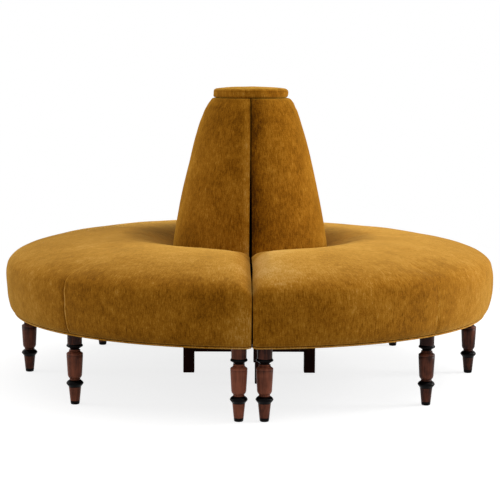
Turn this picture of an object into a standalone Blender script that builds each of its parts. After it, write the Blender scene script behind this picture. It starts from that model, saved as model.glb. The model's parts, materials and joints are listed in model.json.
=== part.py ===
"""Round sofa: two half-ring modules with crowned seats, a tall cone back and a lift-off cap.

Metres, +Z up. The origin is on the floor, at the centre of the seam between the two halves.
The seam lies in the YZ plane and its front end faces -Y. Each half is modelled as the right
one, about its own upright axis, with its seam face on x = 0 and its pieces at x > 0. The left
half shares the meshes and is turned half a turn about the vertical.
"""

import math

import bmesh
import bpy
from mathutils import Matrix, Vector

# Clearances
FIT_GAP = 0.0003  # between pieces that touch
RUN_GAP = 0.0005  # round a peg that slides in its hole
COVER_GAP = 0.0004  # between a cover and its foam
OVERRUN = 0.02  # how far a cutter runs past what it cuts

# The two halves
SEAM_GAP = 0.001  # between the two covers
RING_STEPS = 18  # facets round a half ring
ROUNDING_STEPS = 2  # facets across a rounded end
SHARP_ANGLE = 35  # degrees, above which an edge is shaded sharp
DIGITS = 9  # to which a point of a ring is rounded, in metres

# Seat, over the velvet
SEAT_RADIUS = 0.8725
SEAT_CROWN_HEIGHT = 0.504
SEAT_WIDEST_SHARE = 0.65  # height of the widest place, from the underside to the crown
SEAT_CROWN_INSET = 0.3825  # from the widest radius in to the top of the crown
SEAT_UNDERSIDE_HEIGHT = 0.243
SEAT_UNDER_TURN = 0.0405  # how far the side turns in at the bottom
VALLEY_DROP = 0.046  # from the crown down to where the seat meets the back
VALLEY_ROUND = 0.009
CROWN_EXPONENT_SHARE = 1.8  # superellipse power of the upper side
BELLY_EXPONENT_SHARE = 3.3  # superellipse power of the lower side
DISH_EXPONENT_SHARE = 2.3  # power of the fall from the crown to the valley
DISH_SHARES = (1.0, 0.66, 0.33)  # of the way from the crown in to the valley
CROWN_TURN_SHARES = (1.0, 0.73, 0.48, 0.23, 0.0)  # of a quarter turn, from the crown to the widest
BELLY_TURN_SHARES = (0.71, 0.4, 0.16, 0.0)  # of a quarter turn, from the widest to the bottom
END_ROUND_LOW = 0.010  # rounding of the seat's end along its side and bottom
END_ROUND_TOP = 0.046  # rounding of the seat's end over the crown
END_ROUND_RAMP = 0.12  # length over which the rounding grows

# Back, over the velvet
BACK_FOOT_RADIUS = 0.280
BACK_TOP_RADIUS = 0.1394
BACK_TOP_HEIGHT = 0.998
BACK_RIM_ROUND = 0.0035  # height of the rounded rim at the top
BACK_RIM_TURN = 0.010  # how far the rim turns in
BACK_FOOT_RISE = 0.022  # how far below the valley the foot starts to lean in
BACK_LEAN_SHARES = ((1.0, 0.156), (0.34, 0.944))  # of the loss of radius and of the rise
BACK_LEVEL_SHARES = (0.24, 0.47, 0.68, 0.84, 0.94)
BACK_END_ROUND = 0.012

# Covers, pads and foam
COVER_THICKNESS = 0.0015
COVER_TURN_UNDER = 0.016  # width of the cover's edge under the board
END_PAD = 0.010  # foam between the seam lining and the frame
SEAT_SIDE_FOAM = 0.0707  # between the cover and the front rail at the widest
BACK_FOOT_FOAM = 0.045
BACK_TOP_FOAM = 0.016
BACK_FLANGE = 0.030  # width of the back cover's edge over the top plate

# Seat frame
BOARD_THICKNESS = 0.018
PANEL_THICKNESS = 0.018
RIB_THICKNESS = 0.018
FRONT_RAIL_THICKNESS = 0.012
RING_RAIL_THICKNESS = 0.028
RING_RAIL_COVER = 0.011  # how far the ring rail reaches past the back's foot
SEAT_FOAM_DEPTH = 0.1032  # under the crown, over the webbing
RIB_ANGLE_SHARES = (0.25, 0.5, 0.75)  # of the half turn
DUST_COVER_THICKNESS = 0.0015
WEBBING_THICKNESS = 0.002
WEBBING_WIDTH = 0.055
WEBBING_RADIAL_STRAPS = 7
WEBBING_ARC_STRAPS = 3
WEBBING_GAP_STEPS = 2  # chords across the gap between two radial straps

# Back frame
SKIN_THICKNESS = 0.004
TOP_PLATE_THICKNESS = 0.018
FORMER_THICKNESS = 0.018
RIB_SETBACK = 0.002  # of the rib's upright edge from the formers' straight edge
MID_FORMER_SHARE = 0.5  # of the height between the foot former and the top plate

# Pegs between the halves
PEG_RADIUS = 0.006
PEG_REACH_SHARE = 0.59  # of the way from the ring rail out to the front rail
SOCKET_WALL = 0.003
PEG_FACETS = 12

# Turned legs
LEG_INSET = 0.032  # from the board's edge in to the leg's axis
LEG_RADIUS = 0.0282
LEG_SEAM_OFFSET = 0.040  # from the seam face to the first and the last leg's axis
LEGS = 5
LEG_FACETS = 12
LEG_OUTLINE_SHARES = (
    # share of the leg's greatest radius, share of its height
    (0.44, 0.0),
    (0.515, 0.012),
    (0.72, 0.245),
    (0.95, 0.285),
    (1.0, 0.300),
    (0.67, 0.343),
    (0.83, 0.385),
    (0.95, 0.69),
    (0.76, 0.735),
    (0.56, 0.765),
    (0.965, 0.815),
    (0.86, 0.848),
    (0.86, 1.0),
)
PLATE_SIDE = 0.056
PLATE_THICKNESS = 0.0056
PLATE_CORNER = 0.004
SPIGOT_RADIUS = 0.006  # stub on the leg that sits in the plate

# Square inner legs and their low rail
SQUARE_LEG_SIDE = 0.040
SQUARE_LEG_CHAMFER = 0.0015
SIDE_LEG_REACH = 0.2195  # from the axis, away from the seam
SEAM_LEG_OFFSET = 0.0375  # from the seam face
SEAM_LEG_REACH = 0.198  # from the axis, along the seam
STRETCHER_HEIGHT = 0.076  # of its lower edge
STRETCHER_DEPTH = 0.045
STRETCHER_THICKNESS = 0.020

# Cap
CAP_SETBACK = 0.0058  # of its side from the back's top radius
CAP_LIFT = 0.0037  # shadow gap between the back's cover and the cap's cover
CAP_THICKNESS = 0.033
CAP_DOME = 0.004
CAP_EDGE_ROUND = 0.010
CAP_FACETS = 18
CAP_EDGE_TURN_SHARES = (0.0, 0.5, 1.0)  # of a quarter turn over each rounded edge
CAP_BOARD_INSET = 0.0156
CAP_BOARD_THICKNESS = 0.012
DOWEL_RADIUS = 0.006
DOWEL_LENGTH = 0.036
DOWEL_SPACING = 0.090
DOWEL_OFFSET = 0.042  # from the seam

# Worked out from the sizes above
SEAM_SHIFT = SEAM_GAP / 2
BOARD_RADIUS = SEAT_RADIUS - SEAT_UNDER_TURN
FLANGE_RADIUS = BOARD_RADIUS - COVER_TURN_UNDER
UNDER_COVER = COVER_THICKNESS + COVER_GAP
FRAME_FACE = UNDER_COVER + END_PAD
PANEL_BACK = FRAME_FACE + PANEL_THICKNESS
BEHIND_PANEL = PANEL_BACK + FIT_GAP
BOARD_BOTTOM = SEAT_UNDERSIDE_HEIGHT + UNDER_COVER
BOARD_TOP = BOARD_BOTTOM + BOARD_THICKNESS
FRAME_BOTTOM = BOARD_TOP + FIT_GAP
WEBBING_TOP = SEAT_CROWN_HEIGHT - SEAT_FOAM_DEPTH - FIT_GAP
WEBBING_BOTTOM = WEBBING_TOP - WEBBING_THICKNESS
FRAME_TOP = WEBBING_BOTTOM - FIT_GAP
DECK = WEBBING_TOP + FIT_GAP
FRONT_RAIL_RADIUS = SEAT_RADIUS - UNDER_COVER - SEAT_SIDE_FOAM
TUCK_RADIUS = BACK_FOOT_RADIUS + FIT_GAP
RING_RAIL_RADIUS = BACK_FOOT_RADIUS + RING_RAIL_COVER
SEAT_DEPTH = SEAT_CROWN_HEIGHT - SEAT_UNDERSIDE_HEIGHT
SEAT_WIDEST_HEIGHT = SEAT_UNDERSIDE_HEIGHT + SEAT_DEPTH * SEAT_WIDEST_SHARE
VALLEY_HEIGHT = SEAT_CROWN_HEIGHT - VALLEY_DROP
BACK_FOOT_HEIGHT = VALLEY_HEIGHT - BACK_FOOT_RISE
BACK_CURVE_TOP = BACK_TOP_HEIGHT - BACK_RIM_ROUND
TOP_PLATE_TOP = BACK_TOP_HEIGHT - UNDER_COVER
TOP_PLATE_BOTTOM = TOP_PLATE_TOP - TOP_PLATE_THICKNESS
PLATE_TOP = SEAT_UNDERSIDE_HEIGHT - FIT_GAP
PLATE_BOTTOM = PLATE_TOP - PLATE_THICKNESS
LEG_HEIGHT = PLATE_BOTTOM - FIT_GAP
LEG_RING_RADIUS = BOARD_RADIUS - LEG_INSET
PEG_REACH = RING_RAIL_RADIUS + (FRONT_RAIL_RADIUS - RING_RAIL_RADIUS) * PEG_REACH_SHARE
PEG_HEIGHT = (FRAME_BOTTOM + FRAME_TOP) / 2
CAP_RADIUS = BACK_TOP_RADIUS - CAP_SETBACK
CAP_BOARD_RADIUS = CAP_RADIUS - CAP_BOARD_INSET
CAP_BOARD_BOTTOM = BACK_TOP_HEIGHT + FIT_GAP
CAP_BOTTOM = BACK_TOP_HEIGHT + CAP_LIFT

# Materials: colour, roughness, metallic
VELVET = ((0.39, 0.17, 0.02), 0.85, 0.0)
LINING = ((0.02, 0.018, 0.016), 0.9, 0.0)
FOAM = ((0.80, 0.74, 0.55), 0.95, 0.0)
PLYWOOD = ((0.55, 0.40, 0.24), 0.7, 0.0)
WALNUT = ((0.10, 0.032, 0.020), 0.35, 0.0)
DARK_STAIN = ((0.022, 0.008, 0.006), 0.5, 0.0)
JUTE = ((0.42, 0.30, 0.16), 0.95, 0.0)
STEEL = ((0.10, 0.09, 0.09), 0.45, 0.8)
NYLON = ((0.05, 0.05, 0.05), 0.5, 0.0)


def clear_scene():
    for thing in list(bpy.data.objects):
        bpy.data.objects.remove(thing)


def make_material(name, look):
    colour, roughness, metallic = look
    material = bpy.data.materials.new(name)
    material.use_nodes = True
    shader = material.node_tree.nodes["Principled BSDF"]
    shader.inputs["Base Color"].default_value = (*colour, 1.0)
    shader.inputs["Roughness"].default_value = roughness
    shader.inputs["Metallic"].default_value = metallic
    material.diffuse_color = (*colour, 1.0)
    return material


# Mesh helpers


def mesh_of(name, vertices, faces):
    """A closed mesh with its faces turned out."""
    mesh = bpy.data.meshes.new(name)
    mesh.from_pydata(vertices, [], faces)
    shape = bmesh.new()
    shape.from_mesh(mesh)
    bmesh.ops.recalc_face_normals(shape, faces=shape.faces)
    if shape.calc_volume(signed=True) < 0:
        bmesh.ops.reverse_faces(shape, faces=shape.faces)
    shape.to_mesh(mesh)
    shape.free()
    return mesh


def prism(name, outline, low, high):
    """A flat outline in X and Y, raised from low to high."""
    count = len(outline)
    vertices = [(x, y, z) for z in (low, high) for x, y in outline]
    faces = [tuple(range(count)), tuple(range(count, 2 * count))]
    for i in range(count):
        j = (i + 1) % count
        faces.append((i, j, count + j, count + i))
    return mesh_of(name, vertices, faces)


def upright_prism(name, outline, low, high):
    """A flat outline in Y and Z, raised along X from low to high."""
    mesh = prism(name, outline, low, high)
    mesh.transform(Matrix(((0, 0, 1, 0), (1, 0, 0, 0), (0, 1, 0, 0), (0, 0, 0, 1))))
    return mesh


def loft(name, rows):
    """A solid through rows of equally many points, each row a closed loop."""
    count = len(rows[0])
    vertices = [point for row in rows for point in row]
    last = count * (len(rows) - 1)
    faces = [tuple(range(count)), tuple(range(last, last + count))]
    for k in range(len(rows) - 1):
        for i in range(count):
            j = (i + 1) % count
            start = k * count
            faces.append((start + i, start + j, start + count + j, start + count + i))
    return mesh_of(name, vertices, faces)


def lathe(name, outline, facets):
    """A turned solid about Z. The outline runs from the axis out and back to it."""
    ring = outline[1:-1]
    vertices = [(0.0, 0.0, outline[0][1])]
    for radius, height in ring:
        for i in range(facets):
            angle = math.tau * i / facets
            vertices.append((radius * math.cos(angle), radius * math.sin(angle), height))
    vertices.append((0.0, 0.0, outline[-1][1]))
    tip = len(vertices) - 1
    faces = []
    for i in range(facets):
        j = (i + 1) % facets
        faces.append((0, 1 + i, 1 + j))
        for k in range(len(ring) - 1):
            low = 1 + k * facets
            high = low + facets
            faces.append((low + i, low + j, high + j, high + i))
        last = 1 + (len(ring) - 1) * facets
        faces.append((last + i, last + j, tip))
    return mesh_of(name, vertices, faces)


def turned_ring(name, outline, facets):
    """A turned solid about Z whose closed outline stays clear of the axis."""
    rows = []
    for i in range(facets):
        angle = math.tau * i / facets
        rows.append([(r * math.cos(angle), r * math.sin(angle), z) for r, z in outline])
    count = len(outline)
    vertices = [point for row in rows for point in row]
    faces = []
    for k in range(facets):
        start = k * count
        after = (k + 1) % facets * count
        for i in range(count):
            j = (i + 1) % count
            faces.append((start + i, start + j, after + j, after + i))
    return mesh_of(name, vertices, faces)


def rod(name, radius, length, facets):
    """A cylinder up Z from the origin."""
    return lathe(name, ((0, 0), (radius, 0), (radius, length), (0, length)), facets)


def moved(mesh, place, turn=None):
    """The mesh, turned by a matrix and then moved."""
    if turn is not None:
        mesh.transform(turn.to_4x4())
    mesh.transform(Matrix.Translation(Vector(place)))
    return mesh


def combined(mesh, others, operation):
    """The mesh joined with the others, or with the others cut away."""
    body = bpy.data.objects.new("body", mesh)
    bpy.context.scene.collection.objects.link(body)
    helpers = []
    for other in others:
        helper = bpy.data.objects.new("helper", other)
        bpy.context.scene.collection.objects.link(helper)
        modifier = body.modifiers.new("combine", "BOOLEAN")
        modifier.operation = operation
        modifier.solver = "EXACT"
        modifier.object = helper
        helpers.append(helper)
    graph = bpy.context.evaluated_depsgraph_get()
    result = bpy.data.meshes.new_from_object(body.evaluated_get(graph))
    result.name = mesh.name
    for thing in [body, *helpers]:
        bpy.data.objects.remove(thing)
    return result


def cut(mesh, *cutters):
    return combined(mesh, cutters, "DIFFERENCE")


def joined(mesh, *others):
    return combined(mesh, others, "UNION")


# Outlines in radius and height


def edge_normals(points):
    """Outward unit normals of a line of points that runs up, over the solid and down."""
    normals = []
    for (r0, z0), (r1, z1) in zip(points, points[1:]):
        length = math.hypot(r1 - r0, z1 - z0)
        normals.append(((z0 - z1) / length, (r1 - r0) / length))
    return normals


def corner_normals(points, closed):
    """For each point the unit normal of its corner and the share by which an offset grows there."""
    loop = [*points, points[0]] if closed else points
    edges = edge_normals(loop)
    if closed:
        pairs = [(edges[i - 1], edges[i]) for i in range(len(points))]
    else:
        pairs = [(edges[0], edges[0]), *zip(edges, edges[1:]), (edges[-1], edges[-1])]
    corners = []
    for (ar, az), (br, bz) in pairs:
        length = math.hypot(ar + br, az + bz)
        normal = ((ar + br) / length, (az + bz) / length)
        corners.append((normal, 1 / (normal[0] * ar + normal[1] * az)))
    return corners


def inset_outline(points, distance, closed):
    """The outline moved inward by a distance, with its edges parallel."""
    moved_points = []
    for (r, z), ((nr, nz), grow) in zip(points, corner_normals(points, closed)):
        moved_points.append((r - nr * grow * distance, z - nz * grow * distance))
    return moved_points


def seat_outline():
    """The seat's cross-section over the velvet, closed, from the inner bottom corner up."""
    crown_radius = SEAT_RADIUS - SEAT_CROWN_INSET
    side = SEAT_RADIUS - crown_radius
    rise = SEAT_CROWN_HEIGHT - SEAT_WIDEST_HEIGHT
    fall = SEAT_WIDEST_HEIGHT - SEAT_UNDERSIDE_HEIGHT
    valley = TUCK_RADIUS + VALLEY_ROUND
    points = [(TUCK_RADIUS, SEAT_UNDERSIDE_HEIGHT)]
    points.append((TUCK_RADIUS, VALLEY_HEIGHT - 2 * VALLEY_ROUND))
    for share in DISH_SHARES:
        radius = crown_radius - share * (crown_radius - valley)
        points.append((radius, SEAT_CROWN_HEIGHT - VALLEY_DROP * share**DISH_EXPONENT_SHARE))
    for share in CROWN_TURN_SHARES:
        outward, upward = superellipse(share, CROWN_EXPONENT_SHARE)
        points.append((crown_radius + side * outward, SEAT_WIDEST_HEIGHT + rise * upward))
    for share in BELLY_TURN_SHARES:
        downward, outward = superellipse(share, BELLY_EXPONENT_SHARE)
        points.append((BOARD_RADIUS + SEAT_UNDER_TURN * outward, SEAT_WIDEST_HEIGHT - fall * downward))
    return points


def superellipse(share, exponent):
    """A point on a superellipse of unit radii, at a share of a quarter turn."""
    angle = math.pi / 2 * share
    across = max(math.cos(angle), 0.0)
    return across ** (2 / exponent), math.sin(angle) ** (2 / exponent)


def back_curve(share):
    """Radius and height of the back's side, from its foot at 0 to its rim at 1."""
    (r1, z1), (r2, z2) = BACK_LEAN_SHARES
    weights = ((1 - share) ** 3, 3 * (1 - share) ** 2 * share, 3 * (1 - share) * share**2, share**3)
    radius_share = weights[0] + weights[1] * r1 + weights[2] * r2
    height_share = weights[1] * z1 + weights[2] * z2 + weights[3]
    radius = BACK_TOP_RADIUS + (BACK_FOOT_RADIUS - BACK_TOP_RADIUS) * radius_share
    return radius, BACK_FOOT_HEIGHT + (BACK_CURVE_TOP - BACK_FOOT_HEIGHT) * height_share


def back_radius(height):
    """The back's radius at a height, by halving the stretch of curve that holds it."""
    low, high = 0.0, 1.0
    if height <= BACK_FOOT_HEIGHT:
        return BACK_FOOT_RADIUS
    for _ in range(40):
        middle = (low + high) / 2
        if back_curve(middle)[1] < height:
            low = middle
        else:
            high = middle
    return back_curve(low)[0]


def back_heights():
    """Heights of the back's levels, from where it starts to lean in to its rim."""
    rise = BACK_CURVE_TOP - BACK_FOOT_HEIGHT
    return [BACK_FOOT_HEIGHT + rise * share for share in (0.0, *BACK_LEVEL_SHARES, 1.0)]


def back_outline():
    """The back's side over the velvet, from its top centre out and down to its bottom."""
    points = [(0.0, BACK_TOP_HEIGHT), (BACK_TOP_RADIUS - BACK_RIM_TURN, BACK_TOP_HEIGHT)]
    points += [(back_radius(height), height) for height in back_heights()[::-1]]
    points.append((BACK_FOOT_RADIUS, SEAT_UNDERSIDE_HEIGHT))
    return points


def core_radius(height):
    """Radius of the back's frame inside its foam, straight between the levels."""
    heights = back_heights()
    radii = []
    for level in heights:
        rise = (level - BACK_FOOT_HEIGHT) / (BACK_CURVE_TOP - BACK_FOOT_HEIGHT)
        foam = BACK_FOOT_FOAM + (BACK_TOP_FOAM - BACK_FOOT_FOAM) * rise
        radii.append(back_radius(level) - UNDER_COVER - foam)
    if height <= heights[0]:
        return radii[0]
    for low, high, wide, narrow in zip(heights, heights[1:], radii, radii[1:]):
        if height <= high:
            return wide + (narrow - wide) * (height - low) / (high - low)
    return radii[-1]


# Half-round plans


def ring_angles():
    return [math.pi * i / RING_STEPS for i in range(1, RING_STEPS)]


def ring_point(radius, angle):
    """The point at an angle from the front, rounded so that a quarter turn is exactly at y = 0."""
    return round(radius * math.sin(angle), DIGITS), round(-radius * math.cos(angle), DIGITS)


def arc_reach(radius, x):
    """How far the facets of a half ring reach along the seam at a distance x from it."""
    corners = [(radius * math.sin(a), radius * math.cos(a)) for a in (0.0, *ring_angles())]
    for (x0, y0), (x1, y1) in zip(corners, corners[1:]):
        if x <= x1:
            return y0 + (y1 - y0) * (x - x0) / (x1 - x0)
    return 0.0


def half_arc(radius, face):
    """Points of a faceted half circle, from the front to the rear, cut off at x = face."""
    reach = arc_reach(radius, face)
    middle = [ring_point(radius, angle) for angle in ring_angles()]
    return [(face, -reach), *(point for point in middle if point[0] > face), (face, reach)]


def half_ring_plan(inner, outer, face):
    return half_arc(outer, face) + half_arc(inner, face)[::-1]


def rounded_end_row(points, normals, rounding, face, turn, front):
    """One row of points across an end that is rounded over to the plane x = face."""
    row = []
    for (r, z), (normal, _), size in zip(points, normals, rounding):
        inset = size * (1 - math.sin(turn))
        radius = r - normal[0] * inset
        x = face + size * (1 - math.cos(turn))
        row.append((x, front * arc_reach(radius, x), z - normal[1] * inset))
    return row


def half_ring_rows(points, normals, rounding, face):
    """Rows of a half ring from its front end to its rear end, both rounded."""
    turns = [math.pi / 2 * i / ROUNDING_STEPS for i in range(ROUNDING_STEPS + 1)]
    front = [rounded_end_row(points, normals, rounding, face, turn, -1) for turn in turns]
    rear = [rounded_end_row(points, normals, rounding, face, turn, 1) for turn in turns]
    rows = []
    for angle in ring_angles():
        rows.append([(*ring_point(r, angle), z) for r, z in points])
    return front + rows + rear[::-1]


def seat_end_rounding(points):
    """The end's rounding at each point: small along the side, large over the crown."""
    sizes = []
    for r, z in points:
        inward = min(max((r - TUCK_RADIUS - VALLEY_ROUND) / END_ROUND_RAMP, 0.0), 1.0)
        upward = min(max((z - SEAT_WIDEST_HEIGHT) / (VALLEY_HEIGHT - SEAT_WIDEST_HEIGHT), 0.0), 1.0)
        sizes.append(END_ROUND_LOW + (END_ROUND_TOP - END_ROUND_LOW) * inward * upward)
    return sizes


def seat_body(name, depth):
    """The seat's outer form, at a depth under the velvet's surface."""
    outline = seat_outline()
    rounding = [size - depth for size in seat_end_rounding(outline)]
    points = inset_outline(outline, depth, True)
    return loft(name, half_ring_rows(points, corner_normals(points, True), rounding, depth))


def half_cone(name, levels, rounding, face):
    """A half-round body through levels of radius and height, with rounded upright corners."""
    rows = []
    turns = [math.pi / 2 * i / ROUNDING_STEPS for i in range(ROUNDING_STEPS + 1)] if rounding else [0.0]
    for radius, height in levels:
        corner = []
        for turn in turns:
            x = face + rounding * (1 - math.cos(turn))
            inset = rounding * (1 - math.sin(turn))
            corner.append((x, arc_reach(radius - inset, x)))
        row = [(x, -y, height) for x, y in corner]
        row += [(*ring_point(radius, angle), height) for angle in ring_angles()]
        row += [(x, y, height) for x, y in corner[::-1]]
        rows.append(row)
    return loft(name, rows)


def back_body(name, depth):
    """The back's outer form, at a depth under the velvet's surface."""
    levels = inset_outline(back_outline(), depth, False)[:0:-1]
    levels[0] = (levels[0][0], SEAT_UNDERSIDE_HEIGHT + depth)
    return half_cone(name, levels, BACK_END_ROUND - depth, depth)


def core_levels(low, top, extra):
    """Levels of the back's frame from a low height to a top one, grown by an extra radius."""
    heights = [low, *(height for height in back_heights() if low < height < top), top]
    return [(core_radius(height) + extra, height) for height in heights]


def upright_disc(radius, length, x, y, z):
    """A cylinder along X that starts at x."""
    disc = rod("disc", radius, length, PEG_FACETS)
    return moved(disc, (x, y, z), Matrix.Rotation(math.pi / 2, 3, "Y"))


# Pieces of one half


def seat_cover():
    shell = seat_body("seat_cover", 0)
    hollow = seat_body("hollow", COVER_THICKNESS)
    below = SEAT_UNDERSIDE_HEIGHT - OVERRUN
    opening_face = FRAME_FACE + COVER_TURN_UNDER
    opening = prism(
        "opening",
        half_ring_plan(TUCK_RADIUS - OVERRUN, FLANGE_RADIUS, opening_face),
        below,
        SEAT_UNDERSIDE_HEIGHT + COVER_THICKNESS + FIT_GAP,
    )
    tuck = prism(
        "tuck",
        half_ring_plan(TUCK_RADIUS - OVERRUN, TUCK_RADIUS + 2 * COVER_THICKNESS, FRAME_FACE - FIT_GAP),
        below,
        DECK,
    )
    return cut(shell, hollow, opening, tuck, *peg_holes(0.0))


def peg_holes(face):
    """Cutters for the peg in the front end and the socket in the rear end, from x = face in."""
    start = face - OVERRUN
    length = FRAME_FACE + OVERRUN
    peg = upright_disc(PEG_RADIUS + RUN_GAP, length, start, -PEG_REACH, PEG_HEIGHT)
    socket = upright_disc(PEG_RADIUS + RUN_GAP, length, start, PEG_REACH, PEG_HEIGHT)
    return peg, socket


def seat_foam():
    foam = seat_body("seat_foam", UNDER_COVER)
    below = SEAT_UNDERSIDE_HEIGHT - OVERRUN
    face = FRAME_FACE - FIT_GAP
    inner = TUCK_RADIUS - OVERRUN
    frame = prism("frame", half_ring_plan(inner, FRONT_RAIL_RADIUS + FIT_GAP, face), below, DECK)
    board_top = BOARD_TOP + FIT_GAP
    board = prism("board", half_ring_plan(inner, BOARD_RADIUS + FIT_GAP, face), below, board_top)
    return cut(foam, frame, board, *peg_holes(0.0))


def webbing():
    """Straps from the ring rail to the front rail, crossed by straps that run round."""
    inner = TUCK_RADIUS + 2 * UNDER_COVER
    outer = FRONT_RAIL_RADIUS * math.cos(math.pi / RING_STEPS / 2) - FIT_GAP
    pitch = (outer - inner - WEBBING_WIDTH) / (WEBBING_ARC_STRAPS - 1)
    radii = []
    for k in range(WEBBING_ARC_STRAPS):
        radii += [inner + k * pitch, inner + k * pitch + WEBBING_WIDTH]
    rows = []
    for radius in radii:
        rows.append([ring_point(radius, angle) for angle in strap_angles(radius)])
    return lattice("webbing", rows, WEBBING_BOTTOM, WEBBING_TOP)


def strap_angles(radius):
    """Where the radial straps' edges cross a circle, with steps across each gap."""
    half = math.asin(WEBBING_WIDTH / 2 / radius)
    start = math.asin(FRAME_FACE / radius)
    span = math.pi - 2 * start - 2 * half
    angles = []
    for k in range(WEBBING_RADIAL_STRAPS):
        middle = start + half + span * k / (WEBBING_RADIAL_STRAPS - 1)
        if angles:
            gap = middle - half - angles[-1]
            angles += [angles[-1] + gap * step / WEBBING_GAP_STEPS for step in range(1, WEBBING_GAP_STEPS)]
        angles += [middle - half, middle + half]
    return angles


def lattice(name, rows, low, high):
    """A flat net over a grid of points, open between the straps that cross."""
    across = len(rows[0])
    vertices = [(x, y, z) for z in (low, high) for row in rows for x, y in row]
    layer = across * len(rows)
    cells = []
    for k in range(len(rows) - 1):
        for i in range(across - 1):
            if k % 2 == 0 or i % (WEBBING_GAP_STEPS + 1) == 0:
                start = k * across + i
                cells.append((start, start + 1, start + across + 1, start + across))
    edges = {(a, b) for cell in cells for a, b in zip(cell, cell[1:] + cell[:1])}
    faces = [*cells, *(tuple(i + layer for i in cell) for cell in cells)]
    for a, b in sorted(edges):
        if (b, a) not in edges:
            faces.append((a, b, b + layer, a + layer))
    return mesh_of(name, vertices, faces)


def radial_slab(name, inner, outer, angle, low, high, thickness):
    """An upright slab from one radius to another at an angle from the front."""
    half = thickness / 2
    outline = [(inner, -half), (outer, -half), (outer, half), (inner, half)]
    slab = prism(name, outline, low, high)
    slab.transform(Matrix.Rotation(angle - math.pi / 2, 4, "Z"))
    return slab


def seat_carcass():
    ring_inner = RING_RAIL_RADIUS - RING_RAIL_THICKNESS
    plan = half_ring_plan(ring_inner, RING_RAIL_RADIUS, BEHIND_PANEL)
    ring = prism("seat_carcass", plan, FRAME_BOTTOM, FRAME_TOP)
    rail_inside = (FRONT_RAIL_RADIUS - FRONT_RAIL_THICKNESS) * math.cos(math.pi / RING_STEPS / 2)
    start = RING_RAIL_RADIUS - RING_RAIL_THICKNESS / 2
    ribs = []
    for share in RIB_ANGLE_SHARES:
        end = rail_inside - FIT_GAP
        rib = radial_slab("rib", start, end, math.pi * share, FRAME_BOTTOM, FRAME_TOP, RIB_THICKNESS)
        ribs.append(rib)
    return joined(ring, *ribs)


def front_rail():
    inner = FRONT_RAIL_RADIUS - FRONT_RAIL_THICKNESS
    plan = half_ring_plan(inner, FRONT_RAIL_RADIUS, BEHIND_PANEL)
    return prism("front_rail", plan, FRAME_BOTTOM, FRAME_TOP)


def base_board():
    return prism("base_board", half_arc(BOARD_RADIUS, FRAME_FACE), BOARD_BOTTOM, BOARD_TOP)


def dust_cover():
    face = FRAME_FACE + COVER_TURN_UNDER + FIT_GAP
    plan = half_arc(FLANGE_RADIUS - FIT_GAP, face)
    top = SEAT_UNDERSIDE_HEIGHT + DUST_COVER_THICKNESS
    return prism("dust_cover", plan, SEAT_UNDERSIDE_HEIGHT, top)


def seam_panel():
    """The upright panel at the seam: low under the seat and tall inside the back."""
    reach = arc_reach(FRONT_RAIL_RADIUS, PANEL_BACK)
    back_side = []
    for radius, height in core_levels(FRAME_TOP, TOP_PLATE_BOTTOM - FIT_GAP, 0):
        back_side.append((arc_reach(radius, PANEL_BACK), height))
    right = [(reach, FRAME_BOTTOM), (reach, FRAME_TOP), *back_side]
    outline = right + [(-y, z) for y, z in right[::-1]]
    panel = upright_prism("seam_panel", outline, FRAME_FACE, PANEL_BACK)
    start = FRAME_FACE - OVERRUN
    length = PANEL_THICKNESS + 2 * OVERRUN
    peg = upright_disc(PEG_RADIUS + FIT_GAP, length, start, -PEG_REACH, PEG_HEIGHT)
    socket_radius = PEG_RADIUS + RUN_GAP + SOCKET_WALL + FIT_GAP
    socket = upright_disc(socket_radius, length, start, PEG_REACH, PEG_HEIGHT)
    return cut(panel, peg, socket)


def back_skin():
    top = TOP_PLATE_BOTTOM - FIT_GAP
    skin = half_cone("back_skin", core_levels(FRAME_BOTTOM, top, 0), 0, FRAME_FACE)
    inside = core_levels(FRAME_BOTTOM - OVERRUN, top + OVERRUN, -SKIN_THICKNESS)
    start = FRAME_FACE - OVERRUN
    reach = BACK_FOOT_RADIUS + OVERRUN
    outline = [(start, -reach), (BEHIND_PANEL, -reach), (BEHIND_PANEL, reach), (start, reach)]
    panel_side = prism("panel_side", outline, FRAME_BOTTOM - OVERRUN, top + OVERRUN)
    return cut(skin, half_cone("inside", inside, 0, start), panel_side)


def former_plan(height):
    radius = core_radius(height) - SKIN_THICKNESS - FIT_GAP
    return half_arc(radius, BEHIND_PANEL)


def back_formers():
    """Foot former, middle former and rib, with the top plate over the panel and the skin."""
    plate_radius = core_radius(TOP_PLATE_TOP)
    top = prism("back_formers", half_arc(plate_radius, FRAME_FACE), TOP_PLATE_BOTTOM, TOP_PLATE_TOP)
    foot_top = FRAME_BOTTOM + FORMER_THICKNESS
    foot = prism("foot", former_plan(foot_top), FRAME_BOTTOM, foot_top)
    middle_low = foot_top + (TOP_PLATE_BOTTOM - foot_top) * MID_FORMER_SHARE
    middle_top = middle_low + FORMER_THICKNESS
    middle = prism("middle", former_plan(middle_top), middle_low, middle_top)
    rib_top = TOP_PLATE_BOTTOM + TOP_PLATE_THICKNESS / 2
    facet_fall = RIB_THICKNESS / 2 * math.tan(math.pi / RING_STEPS / 2)
    inward = -SKIN_THICKNESS - 2 * FIT_GAP - facet_fall
    side = core_levels(FRAME_BOTTOM + FORMER_THICKNESS / 2, TOP_PLATE_BOTTOM, inward)
    outline = [(BEHIND_PANEL + RIB_SETBACK, side[0][1]), (BEHIND_PANEL + RIB_SETBACK, rib_top)]
    outline += [(plate_radius + inward, rib_top), *side[::-1]]
    rib = prism("rib", outline, -RIB_THICKNESS / 2, RIB_THICKNESS / 2)
    rib.transform(Matrix.Rotation(math.pi / 2, 4, "X"))
    return joined(cut(top, *dowel_holes()), foot, middle, rib)


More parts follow.
